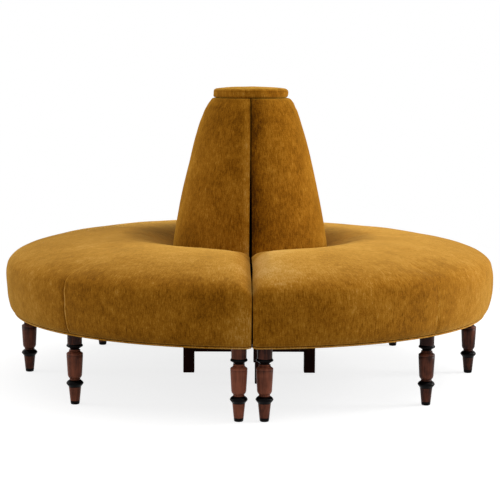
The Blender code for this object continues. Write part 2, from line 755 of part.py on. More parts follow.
def dowel_holes():
    holes = []
    for side in (-1, 1):
        place = (DOWEL_OFFSET - SEAM_SHIFT, side * DOWEL_SPACING / 2, TOP_PLATE_BOTTOM - OVERRUN)
        length = TOP_PLATE_THICKNESS + 2 * OVERRUN
        holes.append(moved(rod("hole", DOWEL_RADIUS + RUN_GAP, length, PEG_FACETS), place))
    return holes


def back_foam():
    foam = back_body("back_foam", UNDER_COVER)
    face = FRAME_FACE - FIT_GAP
    core = core_levels(SEAT_UNDERSIDE_HEIGHT - OVERRUN, TOP_PLATE_TOP, FIT_GAP)
    core.append((core[-1][0], BACK_TOP_HEIGHT + OVERRUN))
    below = prism(
        "below",
        half_arc(BACK_FOOT_RADIUS + OVERRUN, face),
        SEAT_UNDERSIDE_HEIGHT - OVERRUN,
        FRAME_TOP + FIT_GAP,
    )
    return cut(foam, half_cone("core", core, 0, face), below)


def back_cover():
    shell = back_body("back_cover", 0)
    hollow = back_body("hollow", COVER_THICKNESS)
    rim = BACK_TOP_RADIUS - BACK_RIM_TURN
    opening = prism(
        "opening",
        half_arc(rim - BACK_FLANGE, BACK_FLANGE),
        BACK_TOP_HEIGHT - COVER_THICKNESS - FIT_GAP,
        BACK_TOP_HEIGHT + OVERRUN,
    )
    below = prism(
        "below",
        half_arc(BACK_FOOT_RADIUS + OVERRUN, FRAME_FACE - FIT_GAP),
        SEAT_UNDERSIDE_HEIGHT - OVERRUN,
        FRAME_TOP + FIT_GAP,
    )
    return cut(shell, hollow, opening, below)


def locating_peg():
    """A peg held in the panel's front end, across the seam and into the other half's socket."""
    length = 2 * PANEL_BACK + SEAM_GAP
    peg = rod("locating_peg", PEG_RADIUS, length, PEG_FACETS)
    start = PANEL_BACK - length
    return moved(peg, (start, -PEG_REACH, PEG_HEIGHT), Matrix.Rotation(math.pi / 2, 3, "Y"))


def peg_socket():
    bore = PEG_RADIUS + RUN_GAP
    outer = bore + SOCKET_WALL
    outline = [(bore, 0), (outer, 0), (outer, PANEL_THICKNESS), (bore, PANEL_THICKNESS)]
    socket = turned_ring("peg_socket", outline, PEG_FACETS)
    place = (FRAME_FACE, PEG_REACH, PEG_HEIGHT)
    return moved(socket, place, Matrix.Rotation(math.pi / 2, 3, "Y"))


def turned_leg():
    outline = [(0.0, 0.0)]
    for radius_share, height_share in LEG_OUTLINE_SHARES:
        outline.append((LEG_RADIUS * radius_share, LEG_HEIGHT * height_share))
    outline.append((SPIGOT_RADIUS, LEG_HEIGHT))
    outline.append((SPIGOT_RADIUS, PLATE_TOP))
    outline.append((0.0, PLATE_TOP))
    return lathe("turned_leg", outline, LEG_FACETS)


def leg_plate():
    side = PLATE_SIDE / 2 - PLATE_CORNER
    outline = []
    for quarter in range(4):
        for step in range(3):
            angle = math.pi / 2 * (quarter + step / 2)
            corner = math.pi / 2 * quarter
            x = side * (1 if quarter in (0, 3) else -1) + PLATE_CORNER * math.cos(angle)
            y = side * (1 if quarter in (0, 1) else -1) + PLATE_CORNER * math.sin(angle)
            outline.append((x, y))
    plate = prism("leg_plate", outline, PLATE_BOTTOM, PLATE_TOP)
    hole = rod("hole", SPIGOT_RADIUS + FIT_GAP, PLATE_THICKNESS + 2 * OVERRUN, LEG_FACETS)
    return cut(plate, moved(hole, (0, 0, PLATE_BOTTOM - OVERRUN)))


def square_leg():
    half = SQUARE_LEG_SIDE / 2
    outline = [(-half, -half), (half, -half), (half, half), (-half, half)]
    leg = prism("square_leg", outline, 0.0, PLATE_TOP)
    shape = bmesh.new()
    shape.from_mesh(leg)
    bmesh.ops.bevel(shape, geom=shape.edges[:], offset=SQUARE_LEG_CHAMFER, segments=1, affect="EDGES")
    shape.to_mesh(leg)
    shape.free()
    return leg


def stretcher():
    """A low rail along the seam between two legs, with an arm out to the side leg."""
    low = STRETCHER_HEIGHT
    high = low + STRETCHER_DEPTH
    half = STRETCHER_THICKNESS / 2
    leg_side = SQUARE_LEG_SIDE / 2 + FIT_GAP
    reach = SEAM_LEG_REACH - leg_side
    start = SEAM_LEG_OFFSET - half
    end = SEAM_LEG_OFFSET + half
    arm = SIDE_LEG_REACH - leg_side
    outline = [(start, -reach), (end, -reach), (end, -half), (arm, -half)]
    outline += [(arm, half), (end, half), (end, reach), (start, reach)]
    return prism("stretcher", outline, low, high)


# Cap


def cap_outline(depth):
    """The cap's side and top at a depth under its velvet, from its bottom edge to its centre."""
    low = CAP_BOTTOM
    high = CAP_BOTTOM + CAP_THICKNESS
    side_top = high - CAP_DOME
    centre = CAP_RADIUS - CAP_EDGE_ROUND
    turns = [math.pi / 2 * share for share in CAP_EDGE_TURN_SHARES]
    outline = []
    for turn in turns[::-1]:
        drop = CAP_EDGE_ROUND * (1 - math.sin(turn))
        outline.append((centre + CAP_EDGE_ROUND * math.cos(turn), low + drop))
    for turn in turns:
        drop = CAP_EDGE_ROUND * (1 - math.sin(turn))
        outline.append((centre + CAP_EDGE_ROUND * math.cos(turn), side_top - drop))
    outline.append((0.0, high))
    inner = inset_outline(outline[::-1], depth, False)[::-1]
    inner[0] = (inner[0][0], low + depth)
    inner[-1] = (0.0, high - depth)
    return inner


def cap_cover():
    outer = cap_outline(0)
    inner = cap_outline(COVER_THICKNESS)
    edge = CAP_BOARD_RADIUS + FIT_GAP
    outline = outer[::-1] + [(edge, CAP_BOTTOM), (edge, CAP_BOTTOM + COVER_THICKNESS)] + inner
    return lathe("cap_cover", outline, CAP_FACETS)


def cap_foam():
    outline = cap_outline(UNDER_COVER)
    edge = CAP_BOARD_RADIUS + FIT_GAP
    board_top = CAP_BOARD_BOTTOM + CAP_BOARD_THICKNESS + FIT_GAP
    start = [(0.0, board_top), (edge, board_top), (edge, CAP_BOTTOM + UNDER_COVER)]
    return lathe("cap_foam", start + outline, CAP_FACETS)


def cap_board():
    """The cap's round board with its two dowels."""
    top = CAP_BOARD_BOTTOM + CAP_BOARD_THICKNESS
    outline = ((0, CAP_BOARD_BOTTOM), (CAP_BOARD_RADIUS, CAP_BOARD_BOTTOM), (CAP_BOARD_RADIUS, top), (0, top))
    board = lathe("cap_board", outline, CAP_FACETS)
    dowels = []
    for side in (-1, 1):
        length = DOWEL_LENGTH + CAP_BOARD_THICKNESS / 2
        place = (-DOWEL_OFFSET, side * DOWEL_SPACING / 2, CAP_BOARD_BOTTOM - DOWEL_LENGTH)
        dowels.append(moved(rod("dowel", DOWEL_RADIUS, length, PEG_FACETS), place))
    return joined(board, *dowels)


# Assembly


def place_piece(name, mesh, material, parent, place=(0, 0, 0), turn=0.0):
    piece = bpy.data.objects.new(name, mesh)
    bpy.context.scene.collection.objects.link(piece)
    if not mesh.materials:
        mesh.materials.append(material)
        mesh.shade_smooth()
        mesh.set_sharp_from_angle(angle=math.radians(SHARP_ANGLE))
    piece.parent = parent
    piece.location = place
    piece.rotation_euler = (0, 0, turn)
    return piece


def make_half(side, pieces, legs, turn, shift):
    """One half: an empty on its own axis that carries every piece."""
    carrier = bpy.data.objects.new(side + "_half", None)
    bpy.context.scene.collection.objects.link(carrier)
    carrier.location = (shift, 0, 0)
    carrier.rotation_euler = (0, 0, turn)
    for name, (mesh, material) in pieces.items():
        place_piece(f"{side}_{name}", mesh, material, carrier)
    leg, plate, square, walnut, steel, dark = legs
    first = math.asin(LEG_SEAM_OFFSET / LEG_RING_RADIUS)
    for number in range(LEGS):
        angle = first + (math.pi - 2 * first) * number / (LEGS - 1)
        place = (LEG_RING_RADIUS * math.sin(angle), -LEG_RING_RADIUS * math.cos(angle), 0)
        place_piece(f"{side}_turned_leg_{number + 1}", leg, walnut, carrier, place, angle)
        place_piece(f"{side}_leg_plate_{number + 1}", plate, steel, carrier, place, angle)
    spots = {
        "front": (SEAM_LEG_OFFSET, -SEAM_LEG_REACH, 0),
        "side": (SIDE_LEG_REACH, 0, 0),
        "rear": (SEAM_LEG_OFFSET, SEAM_LEG_REACH, 0),
    }
    for where, place in spots.items():
        place_piece(f"{side}_inner_leg_{where}", square, dark, carrier, place)


def main():
    clear_scene()
    velvet = make_material("velvet", VELVET)
    lining = make_material("lining", LINING)
    foam = make_material("foam", FOAM)
    plywood = make_material("plywood", PLYWOOD)
    walnut = make_material("walnut", WALNUT)
    dark = make_material("dark_stain", DARK_STAIN)
    jute = make_material("jute", JUTE)
    steel = make_material("steel", STEEL)
    nylon = make_material("nylon", NYLON)
    pieces = {
        "seat_cover": (seat_cover(), velvet),
        "seat_foam": (seat_foam(), foam),
        "webbing": (webbing(), jute),
        "seat_carcass": (seat_carcass(), plywood),
        "front_rail": (front_rail(), plywood),
        "base_board": (base_board(), plywood),
        "dust_cover": (dust_cover(), lining),
        "seam_panel": (seam_panel(), plywood),
        "back_formers": (back_formers(), plywood),
        "back_skin": (back_skin(), plywood),
        "back_foam": (back_foam(), foam),
        "back_cover": (back_cover(), velvet),
        "stretcher": (stretcher(), dark),
        "locating_peg": (locating_peg(), steel),
        "peg_socket": (peg_socket(), nylon),
    }
    legs = (turned_leg(), leg_plate(), square_leg(), walnut, steel, dark)
    make_half("right", pieces, legs, 0.0, SEAM_SHIFT)
    make_half("left", pieces, legs, math.pi, -SEAM_SHIFT)
    cap = bpy.data.objects.new("cap", None)
    bpy.context.scene.collection.objects.link(cap)
    place_piece("cap_cover", cap_cover(), velvet, cap)
    place_piece("cap_foam", cap_foam(), foam, cap)
    place_piece("cap_board", cap_board(), plywood, cap)


main()
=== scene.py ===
"""Looks of the round sofa: velvet halves and cap, turned legs, frame finishes, light and camera.

Metres, in the CAD's frame: the origin is on the floor at the centre of the seam, the front
end of the seam faces -Y and +Z is up. Each half is shaped as the right one about its own axis,
with its seam face on x = 0, and the left one is then turned half a turn about the vertical.
"""

import json
import math

import bmesh
import bpy
import numpy as np
from mathutils import Matrix, Vector, noise


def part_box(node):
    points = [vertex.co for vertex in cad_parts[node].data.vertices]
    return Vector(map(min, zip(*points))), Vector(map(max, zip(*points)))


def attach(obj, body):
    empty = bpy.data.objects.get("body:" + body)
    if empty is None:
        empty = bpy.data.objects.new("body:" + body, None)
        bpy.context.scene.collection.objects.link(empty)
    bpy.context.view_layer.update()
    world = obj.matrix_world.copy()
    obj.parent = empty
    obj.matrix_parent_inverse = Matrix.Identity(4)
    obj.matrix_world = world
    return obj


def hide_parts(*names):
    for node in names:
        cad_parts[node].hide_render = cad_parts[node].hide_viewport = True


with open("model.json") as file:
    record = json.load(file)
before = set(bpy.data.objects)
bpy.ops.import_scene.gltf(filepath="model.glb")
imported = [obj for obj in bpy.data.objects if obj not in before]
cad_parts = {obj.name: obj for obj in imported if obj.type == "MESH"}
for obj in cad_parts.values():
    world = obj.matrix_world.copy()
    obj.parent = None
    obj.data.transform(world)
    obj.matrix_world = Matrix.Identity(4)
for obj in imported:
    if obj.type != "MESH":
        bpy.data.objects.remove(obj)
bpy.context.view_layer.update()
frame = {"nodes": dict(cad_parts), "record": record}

# Sizes, as in the CAD
SEAM_SHIFT = 0.0005  # half the gap between the two halves
COVER = 0.0015  # thickness of the covers
FIT_GAP = 0.0003  # between pieces that touch
SEAT_RADIUS = 0.8725
CROWN_RADIUS = 0.490
CROWN_HEIGHT = 0.504
WIDEST_HEIGHT = 0.41265
UNDERSIDE = 0.243
BOARD_RADIUS = 0.832
FLANGE_RADIUS = 0.816  # of the opening in the cover's turned-under edge
TUCK_RADIUS = 0.2803  # where the seat's cover goes down beside the back
VALLEY_HEIGHT = 0.458
VALLEY_ROUND = 0.009
CROWN_POWER = 1.8  # superellipse powers of the section
BELLY_POWER = 3.3
DISH_POWER = 2.3
FRAME_FACE = 0.0119  # of the frame's upright faces, from the seam
FRONT_RAIL_RADIUS = 0.800
BOARD_TOP = 0.2632
DECK = 0.4008  # height at which the foam starts, just over the webbing
BACK_FOOT = 0.280
BACK_TOP = 0.1394
BACK_BOTTOM_HEIGHT = 0.3990
BACK_FOOT_HEIGHT = 0.436
BACK_RIM_HEIGHT = 0.9945
BACK_TOP_HEIGHT = 0.998
BACK_LEAN = ((1.0, 0.156), (0.34, 0.944))
BACK_LEVEL_SHARES = (0.0, 0.24, 0.47, 0.68, 0.84, 0.94, 1.0)
BACK_FOOT_FOAM = 0.045
BACK_TOP_FOAM = 0.016
BACK_COVER_DEPTH = 0.0019  # of the cover and the gap under it
CAP_RADIUS = 0.1336
CAP_BOTTOM = 1.0017
CAP_HEIGHT = 0.033
CAP_BOARD_RADIUS = 0.118
PEG_REACH = 0.5913
PEG_HEIGHT = 0.3307
PEG_HOLE = 0.0065
LEGS = 5
INNER_LEGS = ("front", "side", "rear")

# Sizes of the covers' own detail
SEAM_CLOSE = 0.0004  # how far the end faces stand out, so no light comes through the joint
SEAMS = (44.0, 136.0)  # degrees from the front, the sewn seams of a half
SEAM_ZONE = 1.4  # degrees on each side of a sewn seam that have closer points
SEAM_CLEAR = 1.6  # degrees on each side that the wider points leave free
RING_STEP = 0.72  # degrees between the wider points
END_SPREAD = 34.0  # degrees over which the rows make room for the rounded ends
END_ROUND = 0.011  # radius of the seat's rounded ends
CROWN_END_ROUND = 0.050  # how much rounder they are at the crown
FOLD_REACH = 0.822  # where the folds at the joint start
FOLD_HEIGHT = 0.462
HEM_REACH = 0.8422  # radius of the rolled hem's middle
HEM_LOW = 0.2379  # height of its lowest line
HEM_ROLL = 0.0034
HEM_CREASE = 0.2452  # height of the crease over it
SHOULDER_DRAW = 0.007  # how much the cover is drawn in under its shoulder
SHOULDER_HEIGHT = 0.420
BELLY_DRAW = 0.0033  # the same towards the hem
BELLY_TOP = 0.37  # height at which that starts
HEM_TOP = 0.262  # above it the hem no longer shows
WALL_SPACING = 0.02  # between a section's points, on the inner wall and on the parts below
COVER_SPACING = 0.0065
HEM_SPACING = 0.0015
FLANGE_SPACING = 0.008
PAINTED_SHADOW_STEPS = 3  # steps of a rounded end that the black lining covers, a painted shadow along the joint

# What differs between the two halves in the photo
SEAM_STRENGTH = {"right": 0.3, "left": 1.0}  # how clearly the sewn lines show, in depth and in painted highlight and shade
CROWN_RISE = {"right": -0.0035, "left": 0.0045}  # of the seat's crown towards the rear
JOINT_PAINTED_LIGHT = {"right": 1.7, "left": 0.4}  # painted light on the seat's top at the front joint
REAR_PAINTED_SHADE = {"right": (-0.9, 0.05, 0.45), "left": (-1.6, -0.10, 0.40)}  # painted shade on its top at the rear, from y, to y
BACK_WIDER = {  # share by which a back stands wider, at a height, over a reach
    "right": ((0.015, 0.955, 0.032), (0.016, 0.976, 0.014)),
    "left": ((-0.026, 0.990, 0.012), (-0.013, 0.958, 0.030), (-0.010, 0.770, 0.060)),
}

# Lamps: place, size and power
AMBIENT = 0.60
LAMP_TARGET = (0.0, 0.0, 0.4)
LAMPS = {
    "key": ((2.9, -1.5, 3.7), 1.8, 30.0),
    "top": ((0.0, -0.2, 3.8), 2.8, 22.0),
    "side_right": ((4.6, 0.3, 1.5), 1.7, 150.0),
    "side_left": ((-4.6, 0.2, 1.4), 1.7, 46.0),
}

# Cloth simulation
FRAMES = 20
NET_ROWS = 84  # about how many rows the simulated net has
NET_STEP = 3  # it has every third point of a row
CLOTH = {
    "quality": 6,
    "mass": 0.25,
    "tension_stiffness": 60.0,
    "compression_stiffness": 40.0,
    "shear_stiffness": 12.0,
    "bending_stiffness": 1.5,
    "use_pressure": True,
    "shrink_min": -0.012,
    "vertex_group_mass": "pin",
}
PIN_REACH = 1.4  # how fast the hold of the pins fades as the cover gets free
LEAST_PIN = 0.05  # weaker pins of the seats and backs are left out

# Camera, in metres, degrees and millimetres
CAMERA_ORBIT = 0.6  # from straight in front
CAMERA_REACH = 5.673
CAMERA_HEIGHT = 1.127
CAMERA_AIM = (-0.610, 90.0 - 6.822, 0.3)  # pan, tilt from straight down, roll
LENS = 113.56
SENSOR = 36.0


def placed(name, data):
    """A new object with this data, in the scene."""
    made = bpy.data.objects.new(name, data)
    bpy.context.scene.collection.objects.link(made)
    return made


def make_camera():
    orbit = math.radians(CAMERA_ORBIT)
    pan, tilt, roll = (math.radians(a) for a in CAMERA_AIM)
    data = bpy.data.cameras.new("camera")
    data.lens = LENS
    data.sensor_width = SENSOR
    data.clip_start = 0.1
    data.clip_end = 100.0
    camera = placed("camera", data)
    camera.location = (-CAMERA_REACH * math.sin(orbit), -CAMERA_REACH * math.cos(orbit), CAMERA_HEIGHT)
    aim = Matrix.Rotation(pan, 3, "Z") @ Matrix.Rotation(tilt, 3, "X") @ Matrix.Rotation(roll, 3, "Z")
    camera.rotation_euler = aim.to_euler()
    bpy.context.scene.camera = camera


# Mesh helpers


def smoothstep(low, high, x):
    """From 0 at low to 1 at high, without a kink."""
    t = np.clip((np.asarray(x, float) - low) / (high - low), 0.0, 1.0)
    return t * t * (3.0 - 2.0 * t)


def bell(x, width):
    """1 at nought, and soon 0 outside the width."""
    return np.exp(-((np.asarray(x, float) / width) ** 2))


def new_object(name, vertices, faces, smooth_angle=None, materials=()):
    """A closed body with its faces turned outward, in the scene."""
    mesh = bpy.data.meshes.new(name)
    mesh.from_pydata([tuple(v) for v in vertices], [], faces)
    for made in materials:
        mesh.materials.append(made)
    piece = placed(name, mesh)
    turn_out(mesh)
    mesh.shade_smooth()
    if smooth_angle is not None:
        mesh.set_sharp_from_angle(angle=math.radians(smooth_angle))
    return piece


def turn_out(mesh):
    shape = bmesh.new()
    shape.from_mesh(mesh)
    bmesh.ops.recalc_face_normals(shape, faces=shape.faces)
    if shape.calc_volume(signed=True) < 0:
        bmesh.ops.reverse_faces(shape, faces=shape.faces)
    shape.to_mesh(mesh)
    shape.free()


def lofted(rows):
    """Vertices and faces of a closed body through rows of equally many points."""
    count = len(rows[0])
    vertices = np.concatenate(list(rows))
    faces = []
    for k in range(len(rows) - 1):
        start = k * count
        for i in range(count):
            j = (i + 1) % count
            faces.append((start + i, start + j, start + count + j, start + count + i))
    last = count * (len(rows) - 1)
    faces.append(tuple(range(count)))
    faces.append(tuple(range(last, last + count)))
    return vertices, faces


def turned(name, outline, facets, smooth_angle, materials):
    """A turned body about Z. The outline runs from the axis out and back to it."""
    turns = [math.tau * i / facets for i in range(facets)]
    vertices = [(0.0, 0.0, outline[0][1])]
    vertices += [(r * math.cos(a), r * math.sin(a), z) for r, z in outline[1:-1] for a in turns]
    vertices.append((0.0, 0.0, outline[-1][1]))
    last = len(vertices) - 1 - facets
    faces = []
    for i in range(facets):
        j = (i + 1) % facets
        faces.append((0, 1 + j, 1 + i))
        for low in range(1, last, facets):
            faces.append((low + i, low + j, low + facets + j, low + facets + i))
        faces.append((last + i, last + j, last + facets))
    return new_object(name, vertices, faces, smooth_angle, materials)


def resampled(points, spacing):
    """The same line with points about a given distance apart."""
    points = np.asarray(points, float)
    steps = np.hypot(*np.diff(points, axis=0).T)
    along = np.concatenate([[0.0], np.cumsum(steps)])
    count = max(int(round(along[-1] / spacing)), 2)
    wanted = np.linspace(0.0, along[-1], count + 1)
    return np.stack([np.interp(wanted, along, points[:, k]) for k in (0, 1)], axis=1)


def cut_away(piece, cutters):
    """Takes the cutters' bodies out of a piece and deletes them."""
    for k, cutter in enumerate(cutters):
        modifier = piece.modifiers.new(f"cut{k}", "BOOLEAN")
        modifier.operation = "DIFFERENCE"
        modifier.solver = "EXACT"
        modifier.object = cutter
    graph = bpy.context.evaluated_depsgraph_get()
    result = bpy.data.meshes.new_from_object(piece.evaluated_get(graph))
    piece.modifiers.clear()
    piece.data = result
    for cutter in cutters:
        bpy.data.objects.remove(cutter)


def cut_ring(radius, face, count, height):
    """Points round a half ring that is cut off at x = face."""
    start = math.asin(face / radius)
    arc = np.linspace(start, math.pi - start, count)
    return np.array([(radius * math.sin(a), -radius * math.cos(a), height) for a in arc])


def half_disc(name, radius, face, low, high):
    """An upright half-round body cut off at x = face."""
    return new_object(name, *lofted([cut_ring(radius, face, 72, z) for z in (low, high)]))


def peg_hole(y):
    """A cutter along X for a peg's hole through the padding."""
    overrun = 0.01
    turns = np.linspace(0.0, math.tau, 25)[:-1]
    rows = [
        np.array([(x, y + PEG_HOLE * math.cos(t), PEG_HEIGHT + PEG_HOLE * math.sin(t)) for t in turns])
        for x in (-overrun, FRAME_FACE + overrun)
    ]
    return new_object("peg_hole", *lofted(rows))


def close_joint(shaped, x):
    """Lets the seam faces stand out a little and keeps the rest behind them."""
    fading = 0.004
    shaped[:, :, 0] -= SEAM_CLOSE * np.clip(1.0 - x / fading, 0.0, 1.0)
    shaped[:, :, 0] = np.maximum(shaped[:, :, 0], -SEAM_CLOSE)


def field(points, scale, seed, detail=2):
    """Smooth noise at each point of an array, from about -1 to 1."""
    flat = points.reshape(-1, 3) * np.asarray(scale, float) + np.array((7.31, 3.17, 5.73)) * seed
    values = [noise.fractal(p, 1.0, 2.0, detail) for p in flat.tolist()]
    return np.array(values).reshape(points.shape[:-1])


def fine_field(points, scale, seed):
    """The same with one octave only."""
    return field(points, scale, seed, 1)


def grid_normals(grid):
    """Outward normals of a grid of rows, by its neighbouring points."""
    around = np.gradient(grid, axis=0)
    along = np.gradient(grid, axis=1)
    normal = np.cross(around, along)
    length = np.linalg.norm(normal, axis=2, keepdims=True)
    normal /= np.maximum(length, 1e-9)
    centre = grid.mean(axis=(0, 1))
    if np.mean(np.sum(normal * (grid - centre), axis=2)) < 0:
        normal = -normal
    return normal


# Cloth


def pinned(free):
    """How firmly each point is held, from how free it is."""
    return 1.0 - np.clip(free * PIN_REACH, 0.0, 1.0)


def picks(count, step):
    """Every so many of a row of numbers, and the last one."""
    return np.unique(np.append(np.arange(0, count, step), count - 1))


def puffed(grid, pins, pressure, most):
    """How a cover over a grid swells under pressure, with its pinned points held."""
    row_step = max(len(grid) // NET_ROWS, 1)
    row_picks = picks(len(grid), row_step)
    point_picks = picks(grid.shape[1], NET_STEP)
    coarse = grid[np.ix_(row_picks, point_picks)]
    held = pins[np.ix_(row_picks, point_picks)].reshape(-1)
    piece = new_object("cover", *lofted(coarse))
    group = piece.vertex_groups.new(name="pin")
    for index, weight in enumerate(held):
        if weight > 0.0:
            group.add([index], float(weight), "REPLACE")
    cloth = piece.modifiers.new("cloth", "CLOTH")
    for name, value in CLOTH.items():
        setattr(cloth.settings, name, value)
    cloth.settings.uniform_pressure_force = pressure
    cloth.settings.effector_weights.gravity = 0.0
    cloth.collision_settings.use_collision = False
    cloth.point_cache.frame_start = 1
    cloth.point_cache.frame_end = FRAMES
    scene = bpy.context.scene
    for number in range(1, FRAMES + 1):
        scene.frame_set(number)
    graph = bpy.context.evaluated_depsgraph_get()
    result = piece.evaluated_get(graph).to_mesh()
    places = np.empty(len(result.vertices) * 3)
    result.vertices.foreach_get("co", places)
    bpy.data.objects.remove(piece)
    scene.frame_set(1)
    move = places.reshape(coarse.shape) - coarse
    normal = grid_normals(coarse)
    swell = np.clip(np.sum(move * normal, axis=2), -most, most)
    across = np.stack([np.interp(np.arange(len(grid)), row_picks, column) for column in swell.T], axis=1)
    full = np.stack([np.interp(np.arange(grid.shape[1]), point_picks, row) for row in across])
    return softened(full, row_step, NET_STEP)


def shared_out(swell, free, axis, level, gain):
    """The simulated swelling about its mean along one axis, on a level puffiness."""
    weight = free + 1e-6
    mean = np.sum(swell * weight, axis=axis, keepdims=True) / np.sum(weight, axis=axis, keepdims=True)
    return (level + gain * (swell - mean)) * free


def softened(values, rows, points):
    """The values with the kinks of the coarse net smoothed out."""
    for axis, size in ((0, rows), (1, points)):
        kernel = np.ones(2 * size + 1) / (2 * size + 1)
        pad = [(size, size) if k == axis else (0, 0) for k in (0, 1)]
        wide = np.pad(values, pad, mode="edge")
        values = np.apply_along_axis(lambda line: np.convolve(line, kernel, mode="valid"), axis, wide)
    return values


# Velvet seat


def seat_section():
    """The seat's cross-section over the velvet, from the inner bottom up, over and down."""
    wall = [(TUCK_RADIUS, UNDERSIDE), (TUCK_RADIUS, VALLEY_HEIGHT - 2 * VALLEY_ROUND)]
    inner = TUCK_RADIUS + VALLEY_ROUND
    over = []
    for t in np.linspace(0.0, math.pi / 2, 12):
        rise = 2 * VALLEY_ROUND * (1 - math.sin(t))
        over.append((TUCK_RADIUS + VALLEY_ROUND * (1 - math.cos(t)), VALLEY_HEIGHT - rise))
    for share in np.linspace(0.97, 0.03, 40):
        radius = CROWN_RADIUS - share * (CROWN_RADIUS - inner)
        over.append((radius, CROWN_HEIGHT - (CROWN_HEIGHT - VALLEY_HEIGHT) * share**DISH_POWER))
    for t in np.linspace(math.pi / 2, 0.0, 90):
        across = max(math.cos(t), 0.0) ** (2 / CROWN_POWER)
        up = math.sin(t) ** (2 / CROWN_POWER)
        radius = CROWN_RADIUS + (SEAT_RADIUS - CROWN_RADIUS) * across
        over.append((radius, WIDEST_HEIGHT + (CROWN_HEIGHT - WIDEST_HEIGHT) * up))
    belly = []
    for t in np.linspace(math.pi / 2, 0.0, 120):
        out = math.sin(t) ** (2 / BELLY_POWER)
        down = max(math.cos(t), 0.0) ** (2 / BELLY_POWER)
        radius = BOARD_RADIUS + (SEAT_RADIUS - BOARD_RADIUS) * out
        height = WIDEST_HEIGHT - (WIDEST_HEIGHT - UNDERSIDE) * down
        belly.append((radius - BELLY_DRAW * float(smoothstep(BELLY_TOP, HEM_TOP, height)), height))
    split = 0.266  # below it the points lie closer together
    above = [p for p in belly if p[1] > split]
    hem = [above[-1], *(p for p in belly if HEM_CREASE + 0.0012 < p[1] <= split)]
    hem.append((HEM_REACH + 0.0008, HEM_CREASE))
    roll = []
    for t in np.linspace(70.0, -200.0, 14):
        angle = math.radians(t)
        roll.append((HEM_REACH + HEM_ROLL * math.cos(angle), HEM_LOW + HEM_ROLL * (1 + math.sin(angle))))
    roll.append((HEM_REACH - 0.0055, UNDERSIDE))
    upper = np.array(over + above[1:])
    upper[:, 0] -= SHOULDER_DRAW * bell(upper[:, 1] - SHOULDER_HEIGHT, 0.024) * (upper[:, 0] > CROWN_RADIUS)
    low = resampled(wall, WALL_SPACING)
    upper = resampled(upper, COVER_SPACING)
    lower = resampled(hem, HEM_SPACING)
    under = resampled([roll[-1], (FLANGE_RADIUS - 0.02, UNDERSIDE)], FLANGE_SPACING)
    return np.concatenate([low[:-1], upper, lower[1:], roll, under[1:]])


def section_normals(points):
    """Outward normals of a section that runs up, over and down."""
    edges = np.diff(points, axis=0)
    edges /= np.maximum(np.hypot(*edges.T), 1e-9)[:, None]
    tangent = np.concatenate([edges[:1], edges]) + np.concatenate([edges, edges[-1:]])
    tangent /= np.maximum(np.hypot(*tangent.T), 1e-9)[:, None]
    return np.stack([-tangent[:, 1], tangent[:, 0]], axis=1)


def ring_angles():
    """Angles from the front to the rear, closer together at the sewn seams."""
    angles = list(np.arange(0.0, 180.0 + RING_STEP / 2, RING_STEP))
    fine = []
    for seam in SEAMS:
        angles = [a for a in angles if abs(a - seam) > SEAM_CLEAR]
        fine += list(np.linspace(seam - SEAM_ZONE, seam + SEAM_ZONE, 25))
    return np.radians(np.array(sorted(angles + fine)))


def end_rounding(radius, height):
    """How far each point of the section is rounded over at the seam's end."""
    inward = np.clip((radius - TUCK_RADIUS - VALLEY_ROUND) / 0.12, 0.0, 1.0)
    upward = smoothstep(WIDEST_HEIGHT - 0.03, VALLEY_HEIGHT + 0.012, height)
    rounding = END_ROUND + CROWN_END_ROUND * inward * upward
    rounding = np.convolve(np.pad(rounding, 4, mode="edge"), np.ones(9) / 9, mode="valid")
    rounding[(height < UNDERSIDE + 0.001) | (radius < TUCK_RADIUS + 0.0005)] = 0.009
    hem = 0.003 + 0.008 * smoothstep(HEM_CREASE, HEM_CREASE + 0.018, height)
    on_hem = (radius > HEM_REACH - 0.004) & (height < 0.28)
    return np.where(on_hem, np.minimum(rounding, hem), rounding)


def seam_shadow_width(radius, height):
    """Half the width of the black line that each point of the section leaves at the seam: lining over the
    rounded edge, a painted shadow.
    """
    on_top = np.interp(radius, (0.30, 0.58, 0.74, 0.80), (0.0030, 0.0036, 0.0012, 0.0008))
    on_side = np.interp(height, (0.24, 0.30, 0.38, 0.43), (0.0024, 0.0022, 0.0014, 0.0008))
    return np.where((height < 0.43) & (radius > CROWN_RADIUS), on_side, on_top)


def turns_to(opening, rounding):
    """Angles round the seam's edge for each point: the steps over the lining, then the velvet."""
    lined = np.arccos(1.0 - np.minimum(opening / rounding, 0.6))
    rest = math.pi / 2 - lined
    over_lining = [lined * share for share in np.linspace(0.0, 1.0, PAINTED_SHADOW_STEPS + 1)]
    return over_lining + [lined + rest * k / 8 for k in range(1, 8)]


def seat_grid():
    """Rows of points over the seat from its front end to its rear end."""
    section = seat_section()
    normals = section_normals(section)
    radius, height = section.T
    rounding = end_rounding(radius, height)
    ends = []
    for turn in turns_to(seam_shadow_width(radius, height), rounding):
        inset = rounding * (1 - np.sin(turn))
        x = rounding * (1 - np.cos(turn))
        r = radius - normals[:, 0] * inset
        z = height - normals[:, 1] * inset
        ends.append(np.stack([x, np.sqrt(np.maximum(r**2 - x**2, 0.0)), z], axis=1))
    front = [end * (1, -1, 1) for end in ends]
    start = np.arcsin(np.clip(rounding / radius, 0.0, 0.9))
    rows = []
    spread = math.radians(END_SPREAD)
    for base in ring_angles():
        near_front = np.clip(1 - base / spread, 0.0, 1.0) ** 2
        near_rear = np.clip(1 - (math.pi - base) / spread, 0.0, 1.0) ** 2
        here = base + start * near_front - start * near_rear
        rows.append(np.stack([radius * np.sin(here), -radius * np.cos(here), height], axis=1))
    return np.array(front + rows + ends[::-1])


def seat_masks(grid):
    """Radius, angle, and how free the cover is at each point."""
    x, y, z = np.moveaxis(grid, 2, 0)
    radius = np.hypot(x, y)
    angle = np.degrees(np.arctan2(x, -y))
    free = smoothstep(TUCK_RADIUS, TUCK_RADIUS + 0.03, radius)
    free *= smoothstep(UNDERSIDE + 0.004, UNDERSIDE + 0.03, z)
    free *= smoothstep(0.002, 0.030, x)
    return radius, angle, free


